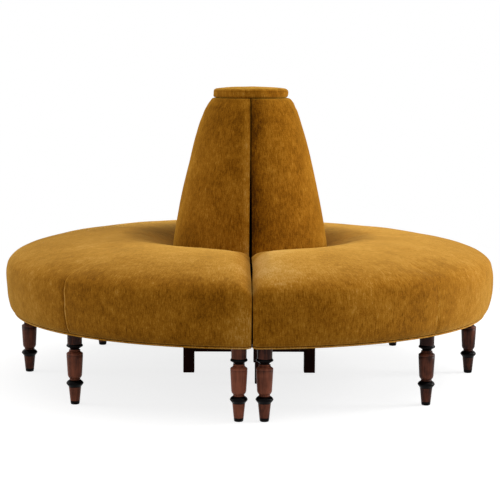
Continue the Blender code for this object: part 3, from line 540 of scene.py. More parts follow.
def sew(side, seed, radius, angle, height, top, move, tone):
    """Adds the sewn seams, which wander a little, and the puckers beside them, with a painted highlight and
    shade along each seam.
    """
    depth = (1.0 - 0.80 * top) * smoothstep(0.30, 0.34, radius) * smoothstep(HEM_CREASE, 0.25, height)
    along = height + 0.7 * (SEAT_RADIUS - radius)
    strength = SEAM_STRENGTH[side] * (1.0 - 0.7 * smoothstep(0.385, 0.435, height))
    flat = np.stack([4.0 * np.radians(angle), 75.0 * radius, 75.0 * height], axis=2)
    puckers = fine_field(flat, 1.0, seed + 4)
    for line, seam in zip(WANDER[side], SEAMS):
        wander = 0.0030 * np.interp(along, np.linspace(0.2, 1.0, 60), line)
        away = np.radians(angle - seam) * radius + wander
        move -= 0.0016 * bell(away, 0.0022) * depth * strength
        move -= 0.0014 * bell(away, 0.018) * depth
        move += 0.0016 * bell(away - 0.0050, 0.0034) * depth * strength
        move += 0.0011 * puckers * bell(away, 0.024) * depth
        # Painted highlight on the ridge beside each seam, painted shade in its groove and round it.
        tone += 3.0 * bell(away - 0.0036, 0.0042) * depth * strength
        tone -= 0.8 * bell(away + 0.0030, 0.0028) * depth * strength
        tone -= 0.5 * bell(away, 0.020) * depth * strength


def seat_nap_and_painted_light(side, seed, grid, radius, rearward, top, tone):
    """Adds painted light and shade to the tone: lighter on top, at the far ends and beside the front joint,
    darker on the inner slope and on the rear top, with random nap patches on the left half's top.
    """
    x, y, height = np.moveaxis(grid, 2, 0)
    in_front = rearward < 0.0
    # Painted light on the far ends and on the tops, painted shade on the inner slope.
    tone += 0.7 * smoothstep(0.50, 0.80, x) * (1.0 - top)
    tone -= 1.2 * smoothstep(0.48, 0.40, radius)
    tone += 0.75 * top
    # Painted light on the top beside the front joint.
    tone += JOINT_PAINTED_LIGHT[side] * bell(x, 0.16) * top * in_front
    # Painted shade on the rear top, where the back's shadow falls.
    rear, low, high = REAR_PAINTED_SHADE[side]
    tone += rear * top * smoothstep(low, high, rearward)
    # Painted light on the right half's front side, and on the left half's front side beside the joint.
    if side == "right":
        tone += 0.35 * bell(x - 0.32, 0.16) * (1.0 - top) * in_front
    else:
        tone += 0.8 * bell(x - 0.020, 0.075) * (1.0 - smoothstep(0.31, 0.40, height)) * in_front
        tone += 0.30 * field(grid, (60.0, 60.0, 60.0), seed + 30) * top


def hem_seat(seed, radius, angle, height, side_on, move, tone):
    """Adds the hem's faint stitched line, darker along it, its crease with painted shade in it, a painted
    highlight on the roll below, and the ripple over it.
    """
    faint = bell(height - (HEM_CREASE + 0.0085), 0.0013) * side_on
    move -= 0.0006 * faint
    tone -= 0.5 * faint
    # Painted shade in the crease and a painted highlight on the rolled hem below it.
    tone -= 2.6 * bell(height - HEM_CREASE, 0.0014) * side_on
    tone += 1.3 * (height < HEM_CREASE - 0.0018) * side_on
    flat = np.stack([45.0 * np.radians(angle), 0.5 * radius, 9.0 * height], axis=2)
    ripple = fine_field(flat, 1.0, seed + 9)
    move += 0.0007 * ripple * bell(height - 0.268, 0.014) * side_on


def fold_ends(seed, grid, move, tone):
    """Adds the small folds that fan out from the seat's shoulder at both ends of the joint, with painted
    light and shade on them.
    """
    for end in (-1, 1):
        gap = grid - np.array([0.0, end * FOLD_REACH, FOLD_HEIGHT])
        distance = np.linalg.norm(gap, axis=2)
        spread = np.arctan2(gap[:, :, 2], end * gap[:, :, 1] + 1e-6)
        folds = np.sin(spread * 11.0 + 2.0 * seed) + 0.6 * np.sin(spread * 19.0 + seed)
        near = bell(distance - 0.020, 0.020) * smoothstep(0.0015, 0.012, grid[:, :, 0])
        move += 0.0011 * folds * near
        # Painted light and shade along the folds.
        tone += 0.25 * folds * near


def make_seat(side, materials):
    seed = 1 if side == "right" else 2
    grid = seat_grid()
    radius, angle, free = seat_masks(grid)
    x, y, height = np.moveaxis(grid, 2, 0)
    rearward = y if side == "right" else -y
    pins = pinned(free)
    low_side = 1.0 - smoothstep(WIDEST_HEIGHT - 0.10, WIDEST_HEIGHT + 0.03, height)
    for seam in SEAMS:
        away = np.radians(angle - seam) * radius
        pins = np.maximum(pins, 0.7 * bell(away, 0.012) * (radius > 0.33) * low_side)
    pins[pins < LEAST_PIN] = 0.0
    move = 0.001 * free
    loose = grid.copy()
    loose[:, :, 2] += 0.0015 * fine_field(grid, 9.0, seed) * free
    swell = puffed(loose, pins, pressure=4.0, most=0.009)
    move = shared_out(swell, free, axis=0, level=0.001, gain=0.30)
    move += 0.0022 * field(grid, (5.0, 5.0, 9.0), seed) * free
    tone = 0.10 * field(grid, (9.0, 9.0, 14.0), seed + 20)
    top = smoothstep(WIDEST_HEIGHT - 0.01, VALLEY_HEIGHT + 0.03, height)
    side_on = radius > BOARD_RADIUS
    sew(side, seed, radius, angle, height, top, move, tone)
    seat_nap_and_painted_light(side, seed, grid, radius, rearward, top, tone)
    hem_seat(seed, radius, angle, height, side_on, move, tone)
    fold_ends(seed, grid, move, tone)
    shaped = grid + grid_normals(grid) * move[:, :, None]
    # The cover falls a little towards the joint, and the crown rises or falls towards the rear.
    near = bell(x, 0.090) * smoothstep(WIDEST_HEIGHT, CROWN_HEIGHT - 0.02, height)
    shaped[:, :, 2] -= 0.010 * near * smoothstep(0.30, 0.42, radius)
    shaped[:, :, 2] += CROWN_RISE[side] * top * smoothstep(-0.15, 0.35, rearward)
    # The hem lifts at its two ends.
    low = 1.0 - smoothstep(HEM_CREASE, HEM_TOP, height)
    shaped[:, :, 2] += 0.005 * np.clip(1.0 - x / 0.0115, 0.0, 1.0) ** 2 * low * side_on
    shaped[0, :, 0] = 0.0
    shaped[-1, :, 0] = 0.0
    close_joint(shaped, x)
    seat = new_object(f"{side}_seat_upholstery", *lofted(shaped), materials=materials)
    set_tone(seat, tone)
    # Black lining on the seam faces and on the rounded ends' first steps: painted shadow along the joint.
    lined = np.zeros(radius.shape, bool)
    lined[:PAINTED_SHADOW_STEPS] = True
    lined[-1 - PAINTED_SHADOW_STEPS:] = True
    line_faces(seat, lined)
    face = FRAME_FACE - FIT_GAP
    board_low = UNDERSIDE + COVER + FIT_GAP
    frame_space = half_disc("frame_space", FRONT_RAIL_RADIUS + FIT_GAP, face, BOARD_TOP - 0.002, DECK)
    board_space = half_disc("board_space", BOARD_RADIUS + FIT_GAP, face, board_low, BOARD_TOP)
    opening = half_disc("opening", FLANGE_RADIUS, FRAME_FACE + 0.016, UNDERSIDE - 0.03, UNDERSIDE + 0.01)
    cut_away(seat, [frame_space, board_space, opening, peg_hole(-PEG_REACH), peg_hole(PEG_REACH)])
    return seat


def set_tone(piece, tone):
    """Keeps a tone at each point for the colour: random tone, with painted light and shade added."""
    layer = piece.data.attributes.new("tone", "FLOAT", "POINT")
    layer.data.foreach_set("value", np.ascontiguousarray(tone, dtype=np.float32).reshape(-1))


def line_faces(piece, lined):
    """Gives the lining to a lofted piece's two ends and to the faces marked in its grid."""
    total = (len(lined) - 1) * lined.shape[1]
    marked = lined.reshape(-1)
    for index, face in enumerate(piece.data.polygons):
        if index >= total or marked[index]:
            face.material_index = 1


def wander_lines(seed):
    """How far each sewn seam of a half strays to the side, along its length."""
    rng = np.random.default_rng(seed)
    lines = []
    for _ in SEAMS:
        steps = rng.normal(size=64)
        line = np.convolve(steps, np.hanning(7) / np.hanning(7).sum(), mode="valid")[:60]
        lines.append(np.pad(line, (0, 60 - len(line)), mode="edge"))
    return lines


WANDER = {"right": wander_lines(3), "left": wander_lines(8)}


# Velvet back


def back_curve(share):
    """Radius and height at a share of the way up the back's curved line."""
    (r1, z1), (r2, z2) = BACK_LEAN
    weights = ((1 - share) ** 3, 3 * (1 - share) ** 2 * share, 3 * (1 - share) * share**2, share**3)
    radius_share = weights[0] + weights[1] * r1 + weights[2] * r2
    height_share = weights[1] * z1 + weights[2] * z2 + weights[3]
    radius = BACK_TOP + (BACK_FOOT - BACK_TOP) * radius_share
    return radius, BACK_FOOT_HEIGHT + (BACK_RIM_HEIGHT - BACK_FOOT_HEIGHT) * height_share


def back_section():
    """Radius and height from the bottom of the back up its side, over the rim and in."""
    points = [(BACK_FOOT, BACK_BOTTOM_HEIGHT), (BACK_FOOT, BACK_FOOT_HEIGHT - 0.006)]
    points += [back_curve(s) for s in np.linspace(0.01, 0.968, 120)]
    last_r, last_z = points[-1]
    rim_in = BACK_TOP - 0.014
    for t in np.linspace(0.12, 1.0, 12):
        angle = t * math.pi / 2
        radius = rim_in + (last_r - rim_in) * math.cos(angle)
        points.append((radius, last_z + (BACK_TOP_HEIGHT - last_z) * math.sin(angle)))
    side = resampled(points, COVER_SPACING)
    flange = resampled([points[-1], (BACK_TOP - 0.034, BACK_TOP_HEIGHT)], FLANGE_SPACING)
    return np.concatenate([side, flange[1:]])


def core_radius(height):
    """Radius of the back's frame, as in the CAD."""
    rise = BACK_RIM_HEIGHT - BACK_FOOT_HEIGHT
    heights = [BACK_FOOT_HEIGHT + rise * s for s in BACK_LEVEL_SHARES]
    radii = []
    for level, s in zip(heights, BACK_LEVEL_SHARES):
        low, high = 0.0, 1.0
        for _ in range(40):
            middle = (low + high) / 2
            low, high = (middle, high) if back_curve(middle)[1] < level else (low, middle)
        foam = BACK_FOOT_FOAM + (BACK_TOP_FOAM - BACK_FOOT_FOAM) * s
        radii.append(back_curve(low)[0] - BACK_COVER_DEPTH - foam)
    return float(np.interp(height, heights, radii))


def back_grid():
    """Rows of points round the back by height, each with rounded upright corners at the seam."""
    rows = []
    for r, z in back_section():
        size = float(np.interp(z, (0.45, 0.75, 0.95), (0.022, 0.017, 0.013)))
        # Half the width of the black line at the seam, lining over the rounded corner: painted shadow.
        opening = float(np.interp(z, (0.48, 0.63, 0.77, 0.95), (0.0047, 0.0034, 0.0017, 0.0014)))
        corner = []
        for turn in turns_to(opening, size):
            x = size * (1 - math.cos(turn))
            inner = r - size * (1 - math.sin(turn))
            corner.append((x, math.sqrt(inner**2 - x**2)))
        front = [(x, -y, z) for x, y in corner]
        rear = [(x, y, z) for x, y in corner[::-1]]
        rows.append([*front, *cut_ring(r, size, 121, z), *rear])
    return np.array(rows)


def make_back(side, materials):
    seed = 5 if side == "right" else 6
    grid = back_grid()
    x, y, z = np.moveaxis(grid, 2, 0)
    free = smoothstep(0.405, 0.46, z) * (1.0 - smoothstep(0.965, 0.993, z)) * smoothstep(0.002, 0.022, x)
    pins = pinned(free)
    pins[pins < LEAST_PIN] = 0.0
    move = -0.0005 * free
    loose = grid.copy()
    loose[:, :, 0] += 0.0010 * fine_field(grid, 9.0, seed) * free
    swell = puffed(loose, pins, pressure=3.0, most=0.007)
    move = shared_out(swell, free, axis=1, level=-0.0005, gain=0.45)
    move += 0.0018 * field(grid, (5.0, 5.0, 4.0), seed) * free
    folds = fine_field(grid, (30.0, 30.0, 5.0), seed + 3)
    folds = folds * bell(x - 0.015, 0.03) * smoothstep(0.004, 0.02, x)
    move += 0.0007 * folds * free
    # Random tone, with painted light and shade along the folds.
    tone = 0.10 * field(grid, (9.0, 9.0, 6.0), seed + 20) + 0.1 * folds
    # Painted light on the back's far sides, which turn towards the side lamps.
    tone += 0.4 * smoothstep(0.75, 1.0, x / np.hypot(x, y))
    # Painted light on the left half's corner at the seam, painted shade on its upper part; painted shade on
    # the right half by the seam and all over.
    if side == "left":
        tone += 0.9 * bell(x - 0.014, 0.014) - 0.35 * smoothstep(0.80, 0.95, z)
    else:
        tone -= 1.4 * bell(x, 0.032) + 0.2
    shaped = grid + grid_normals(grid) * move[:, :, None]
    wider = sum(share * bell(z - level, reach) for share, level, reach in BACK_WIDER[side])
    shaped[:, :, :2] *= (1.0 + wider)[:, :, None]
    shaped[:, 0, 0] = 0.0
    shaped[:, -1, 0] = 0.0
    close_joint(shaped, x)
    back = new_object(f"{side}_back_upholstery", *lofted(shaped), materials=materials)
    set_tone(back, tone)
    # Black lining on the seam faces and on the rounded corners' first steps: painted shadow along the
    # joint.
    lined = np.zeros(x.shape, bool)
    lined[:, :PAINTED_SHADOW_STEPS] = True
    lined[:, -1 - PAINTED_SHADOW_STEPS:] = True
    # Black lining on the top flange under the cap: painted shade in the gap under the cap.
    lined[np.hypot(x, y).max(axis=1) < CAP_RADIUS + 0.001] = True
    line_faces(back, lined)
    face = FRAME_FACE - FIT_GAP
    core_top = 0.996
    core_rows = []
    for level in sorted({0.30, 0.40, *np.linspace(BACK_FOOT_HEIGHT, core_top, 40), 1.02}):
        height = min(level, BACK_TOP_HEIGHT - COVER - FIT_GAP)
        core_rows.append(cut_ring(core_radius(min(level, core_top)) + FIT_GAP, face, 73, height))
    core = new_object("core", *lofted(core_rows))
    opening = half_disc("opening", BACK_TOP - 0.036, 0.030, BACK_TOP_HEIGHT - 0.01, BACK_TOP_HEIGHT + 0.02)
    cut_away(back, [core, opening])
    return back


# Cap


def cap_grid():
    """Rows of points over the cap, from the board's edge out, up and over to the top's centre."""
    nose = 0.0082
    round_wide = 0.0135
    round_high = 0.0105
    low = CAP_BOTTOM - 0.0029
    side_top = CAP_BOTTOM + CAP_HEIGHT - 0.0036
    outline = [(CAP_BOARD_RADIUS + FIT_GAP, low + 0.002), (CAP_BOARD_RADIUS + FIT_GAP, low)]
    outline += [(CAP_RADIUS - nose, low)]
    for t in np.linspace(-84, 0, 9):
        a = math.radians(t)
        outline.append((CAP_RADIUS - nose + nose * math.cos(a), low + nose + nose * math.sin(a)))
    outline.append((CAP_RADIUS, (low + side_top) / 2))
    for t in np.linspace(0, 86, 10):
        a = math.radians(t)
        across = CAP_RADIUS - round_wide * (1.0 - math.cos(a))
        outline.append((across, side_top - round_high * (1.0 - math.sin(a))))
    edge = outline[-1]
    for s in np.linspace(0.94, 0.03, 26):
        outline.append((edge[0] * s, edge[1] + 0.0064 * (1 - s**2)))
    turns = np.linspace(0.0, math.tau, 145)[:-1]
    return np.array([[(r * math.cos(t), r * math.sin(t), z) for t in turns] for r, z in outline])


def make_cap(materials):
    grid = cap_grid()
    x, y, z = np.moveaxis(grid, 2, 0)
    radius = np.hypot(x, y)
    free = smoothstep(CAP_BOTTOM + 0.001, CAP_BOTTOM + 0.010, z)
    outward = np.stack([x / radius, y / radius, 0 * z], axis=2)
    lift = smoothstep(CAP_RADIUS, CAP_RADIUS - 0.012, radius) * (z > CAP_BOTTOM + 0.02)
    normal = outward * (1 - lift[:, :, None]) + np.array((0.0, 0.0, 1.0)) * lift[:, :, None]
    move = 0.0009 * fine_field(grid, (24.0, 24.0, 12.0), 12) * free
    swell = puffed(grid, pinned(free), pressure=3.0, most=0.004)
    move += shared_out(swell, free, axis=1, level=0.0, gain=0.5)
    seam = z - (CAP_BOTTOM + CAP_HEIGHT - 0.0125)
    on_edge = radius > CAP_RADIUS - 0.004
    move -= 0.0006 * bell(seam, 0.0012) * on_edge
    move += 0.0005 * fine_field(grid, (60.0, 60.0, 20.0), 13) * free * bell(radius - CAP_RADIUS, 0.012)
    shaped = grid + normal * move[:, :, None]
    shaped[:, :, 0] += 0.0015 * free
    cap = new_object("cap_upholstery", *lofted(shaped), materials=materials)
    # Random tone, with painted shade in the edge seam's groove and on the top's rounded edge.
    tone = 0.3 * field(grid, (30.0, 30.0, 30.0), 14) - 0.8 * bell(seam, 0.0014) * on_edge
    tone += 0.3
    tone -= 0.9 * lift * smoothstep(CAP_RADIUS - 0.004, CAP_RADIUS - 0.012, radius)
    set_tone(cap, tone)
    return cap


# Dust cover


def middle_of(name):
    """The middle of a CAD node's box."""
    low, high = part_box(name)
    return (low + high) / 2


def make_dust_cover(side, material):
    """Black cloth stretched under the board, a little slack between its tacks and the legs."""
    face = FRAME_FACE + 0.0163
    radius = FLANGE_RADIUS - FIT_GAP
    half = math.sqrt(radius**2 - face**2)
    along = np.linspace(-half, half, 109)
    across = np.linspace(0.0, 1.0, 53)
    reach = np.sqrt(radius**2 - along**2) - face
    x = face + np.maximum(reach, 0.0015)[:, None] * across[None, :]
    y = np.repeat(along[:, None], len(across), axis=1)
    gap = np.minimum(radius - np.hypot(x, y), x - face)
    sign = -1.0 if side == "left" else 1.0
    holders = [f"leg_plate_{number}" for number in range(1, LEGS + 1)]
    holders += [f"inner_leg_{name}" for name in INNER_LEGS]
    for name in holders:
        middle = middle_of(f"{side}_{name}")
        gap = np.minimum(gap, np.hypot(x - sign * middle.x, y - sign * middle.y) - 0.04)
    slack = smoothstep(0.004, 0.09, gap)
    place = np.stack([x, y, np.zeros_like(x)], axis=2)
    low = UNDERSIDE + 0.0004 - slack * (0.0020 + 0.0010 * field(place, 5.0, 3 if side == "left" else 4))
    thickness = 0.0008
    vertices = [np.stack([x, y, z], axis=2).reshape(-1, 3) for z in (low, low + thickness)]
    rows, count = x.shape
    faces = []
    for i in range(rows - 1):
        for j in range(count - 1):
            a = i * count + j
            quad = (a, a + 1, a + count + 1, a + count)
            faces.append(quad[::-1])
            faces.append(tuple(v + rows * count for v in quad))
    rim = list(range(count))
    rim += [i * count + count - 1 for i in range(1, rows)]
    rim += [(rows - 1) * count + j for j in range(count - 2, -1, -1)]
    rim += [i * count for i in range(rows - 2, 0, -1)]
    for a, b in zip(rim, rim[1:] + rim[:1]):
        faces.append((a, b, b + rows * count, a + rows * count))
    return new_object(f"{side}_dust_cloth", np.concatenate(vertices), faces, materials=(material,))


# Turned legs

LEG_PROFILE_MM = (
    # half width, height: foot, taper, lower ring, bead, barrel, shoulder, bead, neck, upper ring, block
    (0.0, 0.0), (12.2, 0.0), (13.6, 0.7), (14.6, 2.4), (15.0, 5.1), (15.8, 12.2), (18.0, 34.5),
    (20.4, 57.9), (20.9, 59.6), (22.2, 61.4), (25.6, 65.4), (27.8, 68.6), (28.4, 70.6),
    (27.9, 72.8), (25.4, 76.6), (21.2, 80.0), (17.8, 81.2), (17.0, 81.8), (17.6, 82.4),
    (18.3, 83.6), (17.7, 84.8), (16.9, 85.6), (16.9, 86.2), (18.2, 87.4), (21.6, 91.8),
    (22.9, 94.9), (23.6, 98.0), (25.0, 121.9), (26.6, 152.4), (27.1, 163.6), (26.4, 164.3),
    (26.4, 164.9), (27.2, 165.6), (27.3, 168.0), (26.8, 170.3), (25.2, 172.3), (22.6, 173.6),
    (20.4, 174.4), (19.7, 175.2), (20.3, 176.0), (19.8, 176.8), (17.2, 177.3), (16.4, 177.8),
    (17.6, 178.6), (19.0, 180.0), (19.1, 181.0), (18.2, 182.2), (16.0, 183.0), (15.2, 183.8),
    (15.0, 184.8), (15.6, 186.0), (18.6, 188.6), (23.6, 191.8), (26.8, 193.6), (27.6, 195.4),
    (27.2, 197.4), (25.6, 199.8), (24.5, 201.2), (24.1, 202.4), (24.1, 203.4), (24.3, 222.0),
    (24.4, 236.8), (6.0, 236.8), (6.0, 242.7), (0.0, 242.7),
)

LEG_BLACK = ((-0.001, 0.0125), (0.0585, 0.0812), (0.1842, 0.2018))  # heights of the ebonised parts
LEG_GROOVES = (0.0818, 0.0858, 0.1645, 0.1775, 0.1840)  # heights of the grooves, darker where stain gathers and with painted shade in them
# Painted light and shade of each leg, from the first leg to the fifth: darker towards the rear, where they
# stand in the shade under the seat
LEG_PAINTED_LIGHT_AND_SHADE = {"right": (0.4, -0.8, -1.0, -1.2, -1.4), "left": (-1.4, -1.2, -0.2, 0.5, 1.6)}


def make_leg(name, place, turn, tone, materials):
    outline = [(w / 1000.0, z / 1000.0) for w, z in LEG_PROFILE_MM]
    leg = turned(name, outline, facets=48, smooth_angle=60.0, materials=materials)
    leg.data.transform(Matrix.Translation(Vector(place)) @ Matrix.Rotation(turn, 4, "Z"))
    for face in leg.data.polygons:
        face.material_index = int(any(low < face.center.z < high for low, high in LEG_BLACK))
    heights = np.array([vertex.co.z for vertex in leg.data.vertices])
    # Painted shade: the top block darker under the seat's hem, and the part below the lower ring darker
    # too; the leg's own tone is its painted light and shade.
    shade = tone - 2.0 * (heights > 0.2025) - 0.6 * (heights < 0.059)
    # Stain gathered in the grooves, darkened further as painted shade.
    for groove in LEG_GROOVES:
        shade = shade - 1.6 * bell(heights - groove, 0.0010)
    set_tone(leg, shade)
    return leg


# Materials


class Nodes:
    """A new material, with short calls for building its node tree."""

    def __init__(self, name):
        self.made = bpy.data.materials.new(name)
        self.made.use_nodes = True
        self.tree = self.made.node_tree
        self.shader = self.tree.nodes["Principled BSDF"]
        self.place = self.node("TexCoord").outputs["Object"]

    def link(self, value, socket):
        if hasattr(value, "is_output"):
            self.tree.links.new(value, socket)
        else:
            socket.default_value = value

    def node(self, kind, **inputs):
        node = self.tree.nodes.new(f"ShaderNode{kind}")
        for name, value in inputs.items():
            self.link(value, node.inputs[name])
        return node

    def finish(self, sockets):
        """Links or sets the shader's sockets, and gives the material."""
        for name, value in sockets.items():
            self.link(value, self.shader.inputs[name])
        return self.made

    def math(self, operation, *values):
        node = self.node("Math")
        node.operation = operation
        for value, socket in zip(values, node.inputs):
            self.link(value, socket)
        return node.outputs[0]

    def summed(self, total, *parts):
        """A total with parts added, each times its weight."""
        for value, weight in parts:
            total = self.math("MULTIPLY_ADD", value, weight, total)
        return total

    def noise(self, vector, scale, detail, roughness):
        node = self.node("TexNoise", Vector=vector, Scale=scale, Detail=detail, Roughness=roughness)
        return node.outputs["Fac"]

    def stretched(self, scale):
        return self.node("Mapping", Vector=self.place, Scale=scale).outputs["Vector"]

    def tone(self):
        """The tone kept at each point of the mesh."""
        node = self.node("Attribute")
        node.attribute_name = "tone"
        return node.outputs["Fac"]

    def xyz(self):
        return self.node("SeparateXYZ", Vector=self.place).outputs

    def radius(self):
        """The distance from the upright axis."""
        x, y, z = self.xyz()
        return self.math("SQRT", self.math("ADD", self.math("MULTIPLY", x, x), self.math("MULTIPLY", y, y)))

    def weave(self, first, second, rate):
        """Threads that cross, at a rate in radians per metre."""
        warp, weft = (self.math("SINE", self.math("MULTIPLY", value, rate)) for value in (first, second))
        return self.math("MULTIPLY", warp, weft)

    def ramp(self, value, stops):
        node = self.node("ValToRGB", Fac=value)
        elements = node.color_ramp.elements
        elements[0].position, elements[0].color = stops[0][0], (*stops[0][1], 1.0)
        elements[1].position, elements[1].color = stops[-1][0], (*stops[-1][1], 1.0)
        for position, colour in stops[1:-1]:
            elements.new(position).color = (*colour, 1.0)
        return node.outputs[0]

    def bump(self, height, strength, distance, **normal):
        node = self.node("Bump", Height=height, Strength=strength, Distance=distance, **normal)
        return node.outputs["Normal"]


WALNUT_COLOURS = ((0.022, 0.0052, 0.0026), (0.250, 0.074, 0.038))
DARK_COLOURS = ((0.0080, 0.0020, 0.0012), (0.036, 0.0092, 0.0058))
# The ramp's lightest stops are reached mostly where the tone paints light on the seat's tops.
VELVET_COLOURS = (
    (0.30, (0.060, 0.017, 0.0005)),
    (0.40, (0.160, 0.053, 0.0012)),
    (0.48, (0.245, 0.088, 0.0036)),
    (0.53, (0.305, 0.117, 0.0062)),
    (0.61, (0.405, 0.173, 0.0150)),
    (0.72, (0.520, 0.275, 0.0660)),
    (0.88, (0.670, 0.408, 0.1500)),
)


def velvet_material(name, ring, tint):
    """Mustard velvet whose nap runs along the section of a ring of about this radius."""
    n = Nodes(name)
    x, y, z = n.xyz()
    round_place = n.math("MULTIPLY", n.math("ARCTAN2", x, n.math("MULTIPLY", y, -1.0)), ring)
    radius = n.radius()

    def nap(stretch, scale):
        inward, upward = (n.math("MULTIPLY", value, stretch) for value in (radius, z))
        place = n.node("CombineXYZ", X=round_place, Y=inward, Z=upward).outputs[0]
        return n.noise(place, scale, 2.0, 0.55)

    streaks = nap(0.14, 400.0)
    wide = nap(0.35, 120.0)
    mottle = n.noise(n.place, 46.0, 5.0, 0.66)
    patches = n.noise(n.place, 9.0, 3.0, 0.5)
    grain = n.noise(n.place, 300.0, 3.0, 0.7)
    total = n.summed(-0.15, (streaks, 0.34), (wide, 0.10), (mottle, 0.26), (patches, 0.26), (grain, 0.34))
    return n.finish({
        "Base Color": n.ramp(n.summed(total, (n.tone(), 0.10)), VELVET_COLOURS),
        "Roughness": 0.9,
        "Specular IOR Level": 0.03,
        "Sheen Weight": 0.62,
        "Sheen Roughness": 0.42,
        "Sheen Tint": (*tint, 1.0),
        "Normal": n.bump(grain, 0.25, 0.0008, Normal=n.bump(total, 0.30, 0.003)),
    })


def wood_material(name, dark, light, roughness, coat, specular):
    n = Nodes(name)
    figure = n.noise(n.stretched((22.0, 22.0, 1.6)), 3.2, 4.0, 0.6)
    pores = n.noise(n.stretched((420.0, 420.0, 18.0)), 1.0, 2.0, 0.6)
    cloud = n.noise(n.place, 24.0, 3.0, 0.5)
    total = n.summed(n.math("MULTIPLY", figure, 0.48), (pores, 0.22), (cloud, 0.30), (n.tone(), 0.09))
    middle = tuple((a + b) / 2 for a, b in zip(dark, light))
    return n.finish({
        "Base Color": n.ramp(total, ((0.34, dark), (0.50, middle), (0.66, light))),
        "Roughness": n.math("MULTIPLY_ADD", pores, 0.25, roughness - 0.12),
        "Coat Weight": coat,
        "Coat Roughness": 0.22,
        "Specular IOR Level": specular,
        "Normal": n.bump(pores, 0.12, 0.0006),
    })


def ebony_material():
    """The black stain of the rings and feet, with fine turning marks."""
    n = Nodes("ebonised")
    rings = n.noise(n.stretched((60.0, 60.0, 500.0)), 1.0, 2.0, 0.5)
    return n.finish({
        "Base Color": n.ramp(rings, ((0.35, (0.0014, 0.0010, 0.0012)), (0.65, (0.0040, 0.0030, 0.0030)))),
        "Roughness": n.math("MULTIPLY_ADD", rings, 0.16, 0.20),
        "Specular IOR Level": 0.05,
        "Normal": n.bump(rings, 0.08, 0.0004),
    })


def lining_material():
    """Black lining in the seam, with a fine weave."""
    n = Nodes("black_lining")
    x, y, z = n.xyz()
    weave = n.weave(y, z, 5600.0)
    cloud = n.summed(n.noise(n.place, 60.0, 3.0, 0.6), (weave, 0.2))
    return n.finish({
        "Base Color": n.ramp(cloud, ((0.3, (0.0012, 0.001, 0.001)), (0.7, (0.004, 0.0035, 0.003)))),
        "Roughness": 1.0,
        "Specular IOR Level": 0.0,
        "Normal": n.bump(weave, 0.2, 0.0002),
    })


def cloth_material(name, dark, light, pitch):
    """A plain woven cloth with threads at a pitch along X and Y."""
    n = Nodes(name)
    x, y, z = n.xyz()
    weave = n.weave(n.math("ADD", x, z), n.math("ADD", y, z), math.tau / pitch)
    cloud = n.summed(n.noise(n.place, 60.0, 3.0, 0.6), (weave, 0.22))
    return n.finish({
        "Base Color": n.ramp(cloud, ((0.25, dark), (0.75, light))),
        "Roughness": 0.95,
        "Specular IOR Level": 0.1,
        "Normal": n.bump(weave, 0.3, pitch * 0.2),
    })


def ply_material():
    n = Nodes("plywood_board")
    grain = n.noise(n.stretched((6.0, 60.0, 60.0)), 3.0, 4.0, 0.6)
    fine = n.noise(n.stretched((30.0, 600.0, 600.0)), 1.0, 2.0, 0.6)
    total = n.summed(n.math("MULTIPLY", grain, 0.7), (fine, 0.3))
    return n.finish({
        "Base Color": n.ramp(total, ((0.3, (0.38, 0.25, 0.13)), (0.7, (0.62, 0.47, 0.30)))),
        "Roughness": 0.7,
        "Normal": n.bump(fine, 0.1, 0.0005),
    })


def speckled_material(name, noise, stops, roughness, relief):
    """A plain finish whose specks give its colour and its relief."""
    n = Nodes(name)
    specks = n.noise(n.place, *noise)
    return n.finish({
        "Base Color": n.ramp(specks, stops),
        "Roughness": roughness,
        "Normal": n.bump(specks, *relief),
    })


def metal_material():
    n = Nodes("plate_steel")
    wear = n.noise(n.place, 180.0, 4.0, 0.65)
    return n.finish({
        "Base Color": n.ramp(wear, ((0.35, (0.020, 0.018, 0.018)), (0.7, (0.060, 0.052, 0.050)))),
        "Roughness": n.math("MULTIPLY_ADD", wear, 0.3, 0.35),
        "Metallic": 0.6,
        "Normal": n.bump(wear, 0.15, 0.0005),
    })


# Light, floor and background


def add_area(name, place, size, power):
    data = bpy.data.lights.new(name, "AREA")
    data.shape = "RECTANGLE"
    data.size = size
    data.size_y = size
    data.energy = power
    lamp = placed(name, data)
    lamp.location = place
    direction = Vector(LAMP_TARGET) - Vector(place)
    lamp.rotation_euler = direction.to_track_quat("-Z", "Y").to_euler()


def seen_rays(tree):
    """One where a camera, glossy or transmission ray looks, otherwise nought."""
    paths = tree.nodes.new("ShaderNodeLightPath")
    value = paths.outputs["Is Camera Ray"]
    for name in ("Is Glossy Ray", "Is Transmission Ray"):
        either = tree.nodes.new("ShaderNodeMath")
        either.operation = "MAXIMUM"
        tree.links.new(value, either.inputs[0])
        tree.links.new(paths.outputs[name], either.inputs[1])
        value = either.outputs[0]
    return value


def mixed(tree, share, first, second):
    """The first shader where the share is nought, the second where it is one."""
    mix = tree.nodes.new("ShaderNodeMixShader")
    for value, socket in zip((share, first, second), mix.inputs):
        tree.links.new(value, socket)
    return mix.outputs[0]


def make_world():
    world = bpy.data.worlds.new("studio")
    bpy.context.scene.world = world
    world.use_nodes = True
    tree = world.node_tree
    tree.nodes.clear()
    whites = []
    for strength in (AMBIENT, 1.0):
        node = tree.nodes.new("ShaderNodeBackground")
        node.inputs["Color"].default_value = (1.0, 1.0, 1.0, 1.0)
        node.inputs["Strength"].default_value = strength
        whites.append(node.outputs[0])
    output = tree.nodes.new("ShaderNodeOutputWorld")
    tree.links.new(mixed(tree, seen_rays(tree), *whites), output.inputs["Surface"])


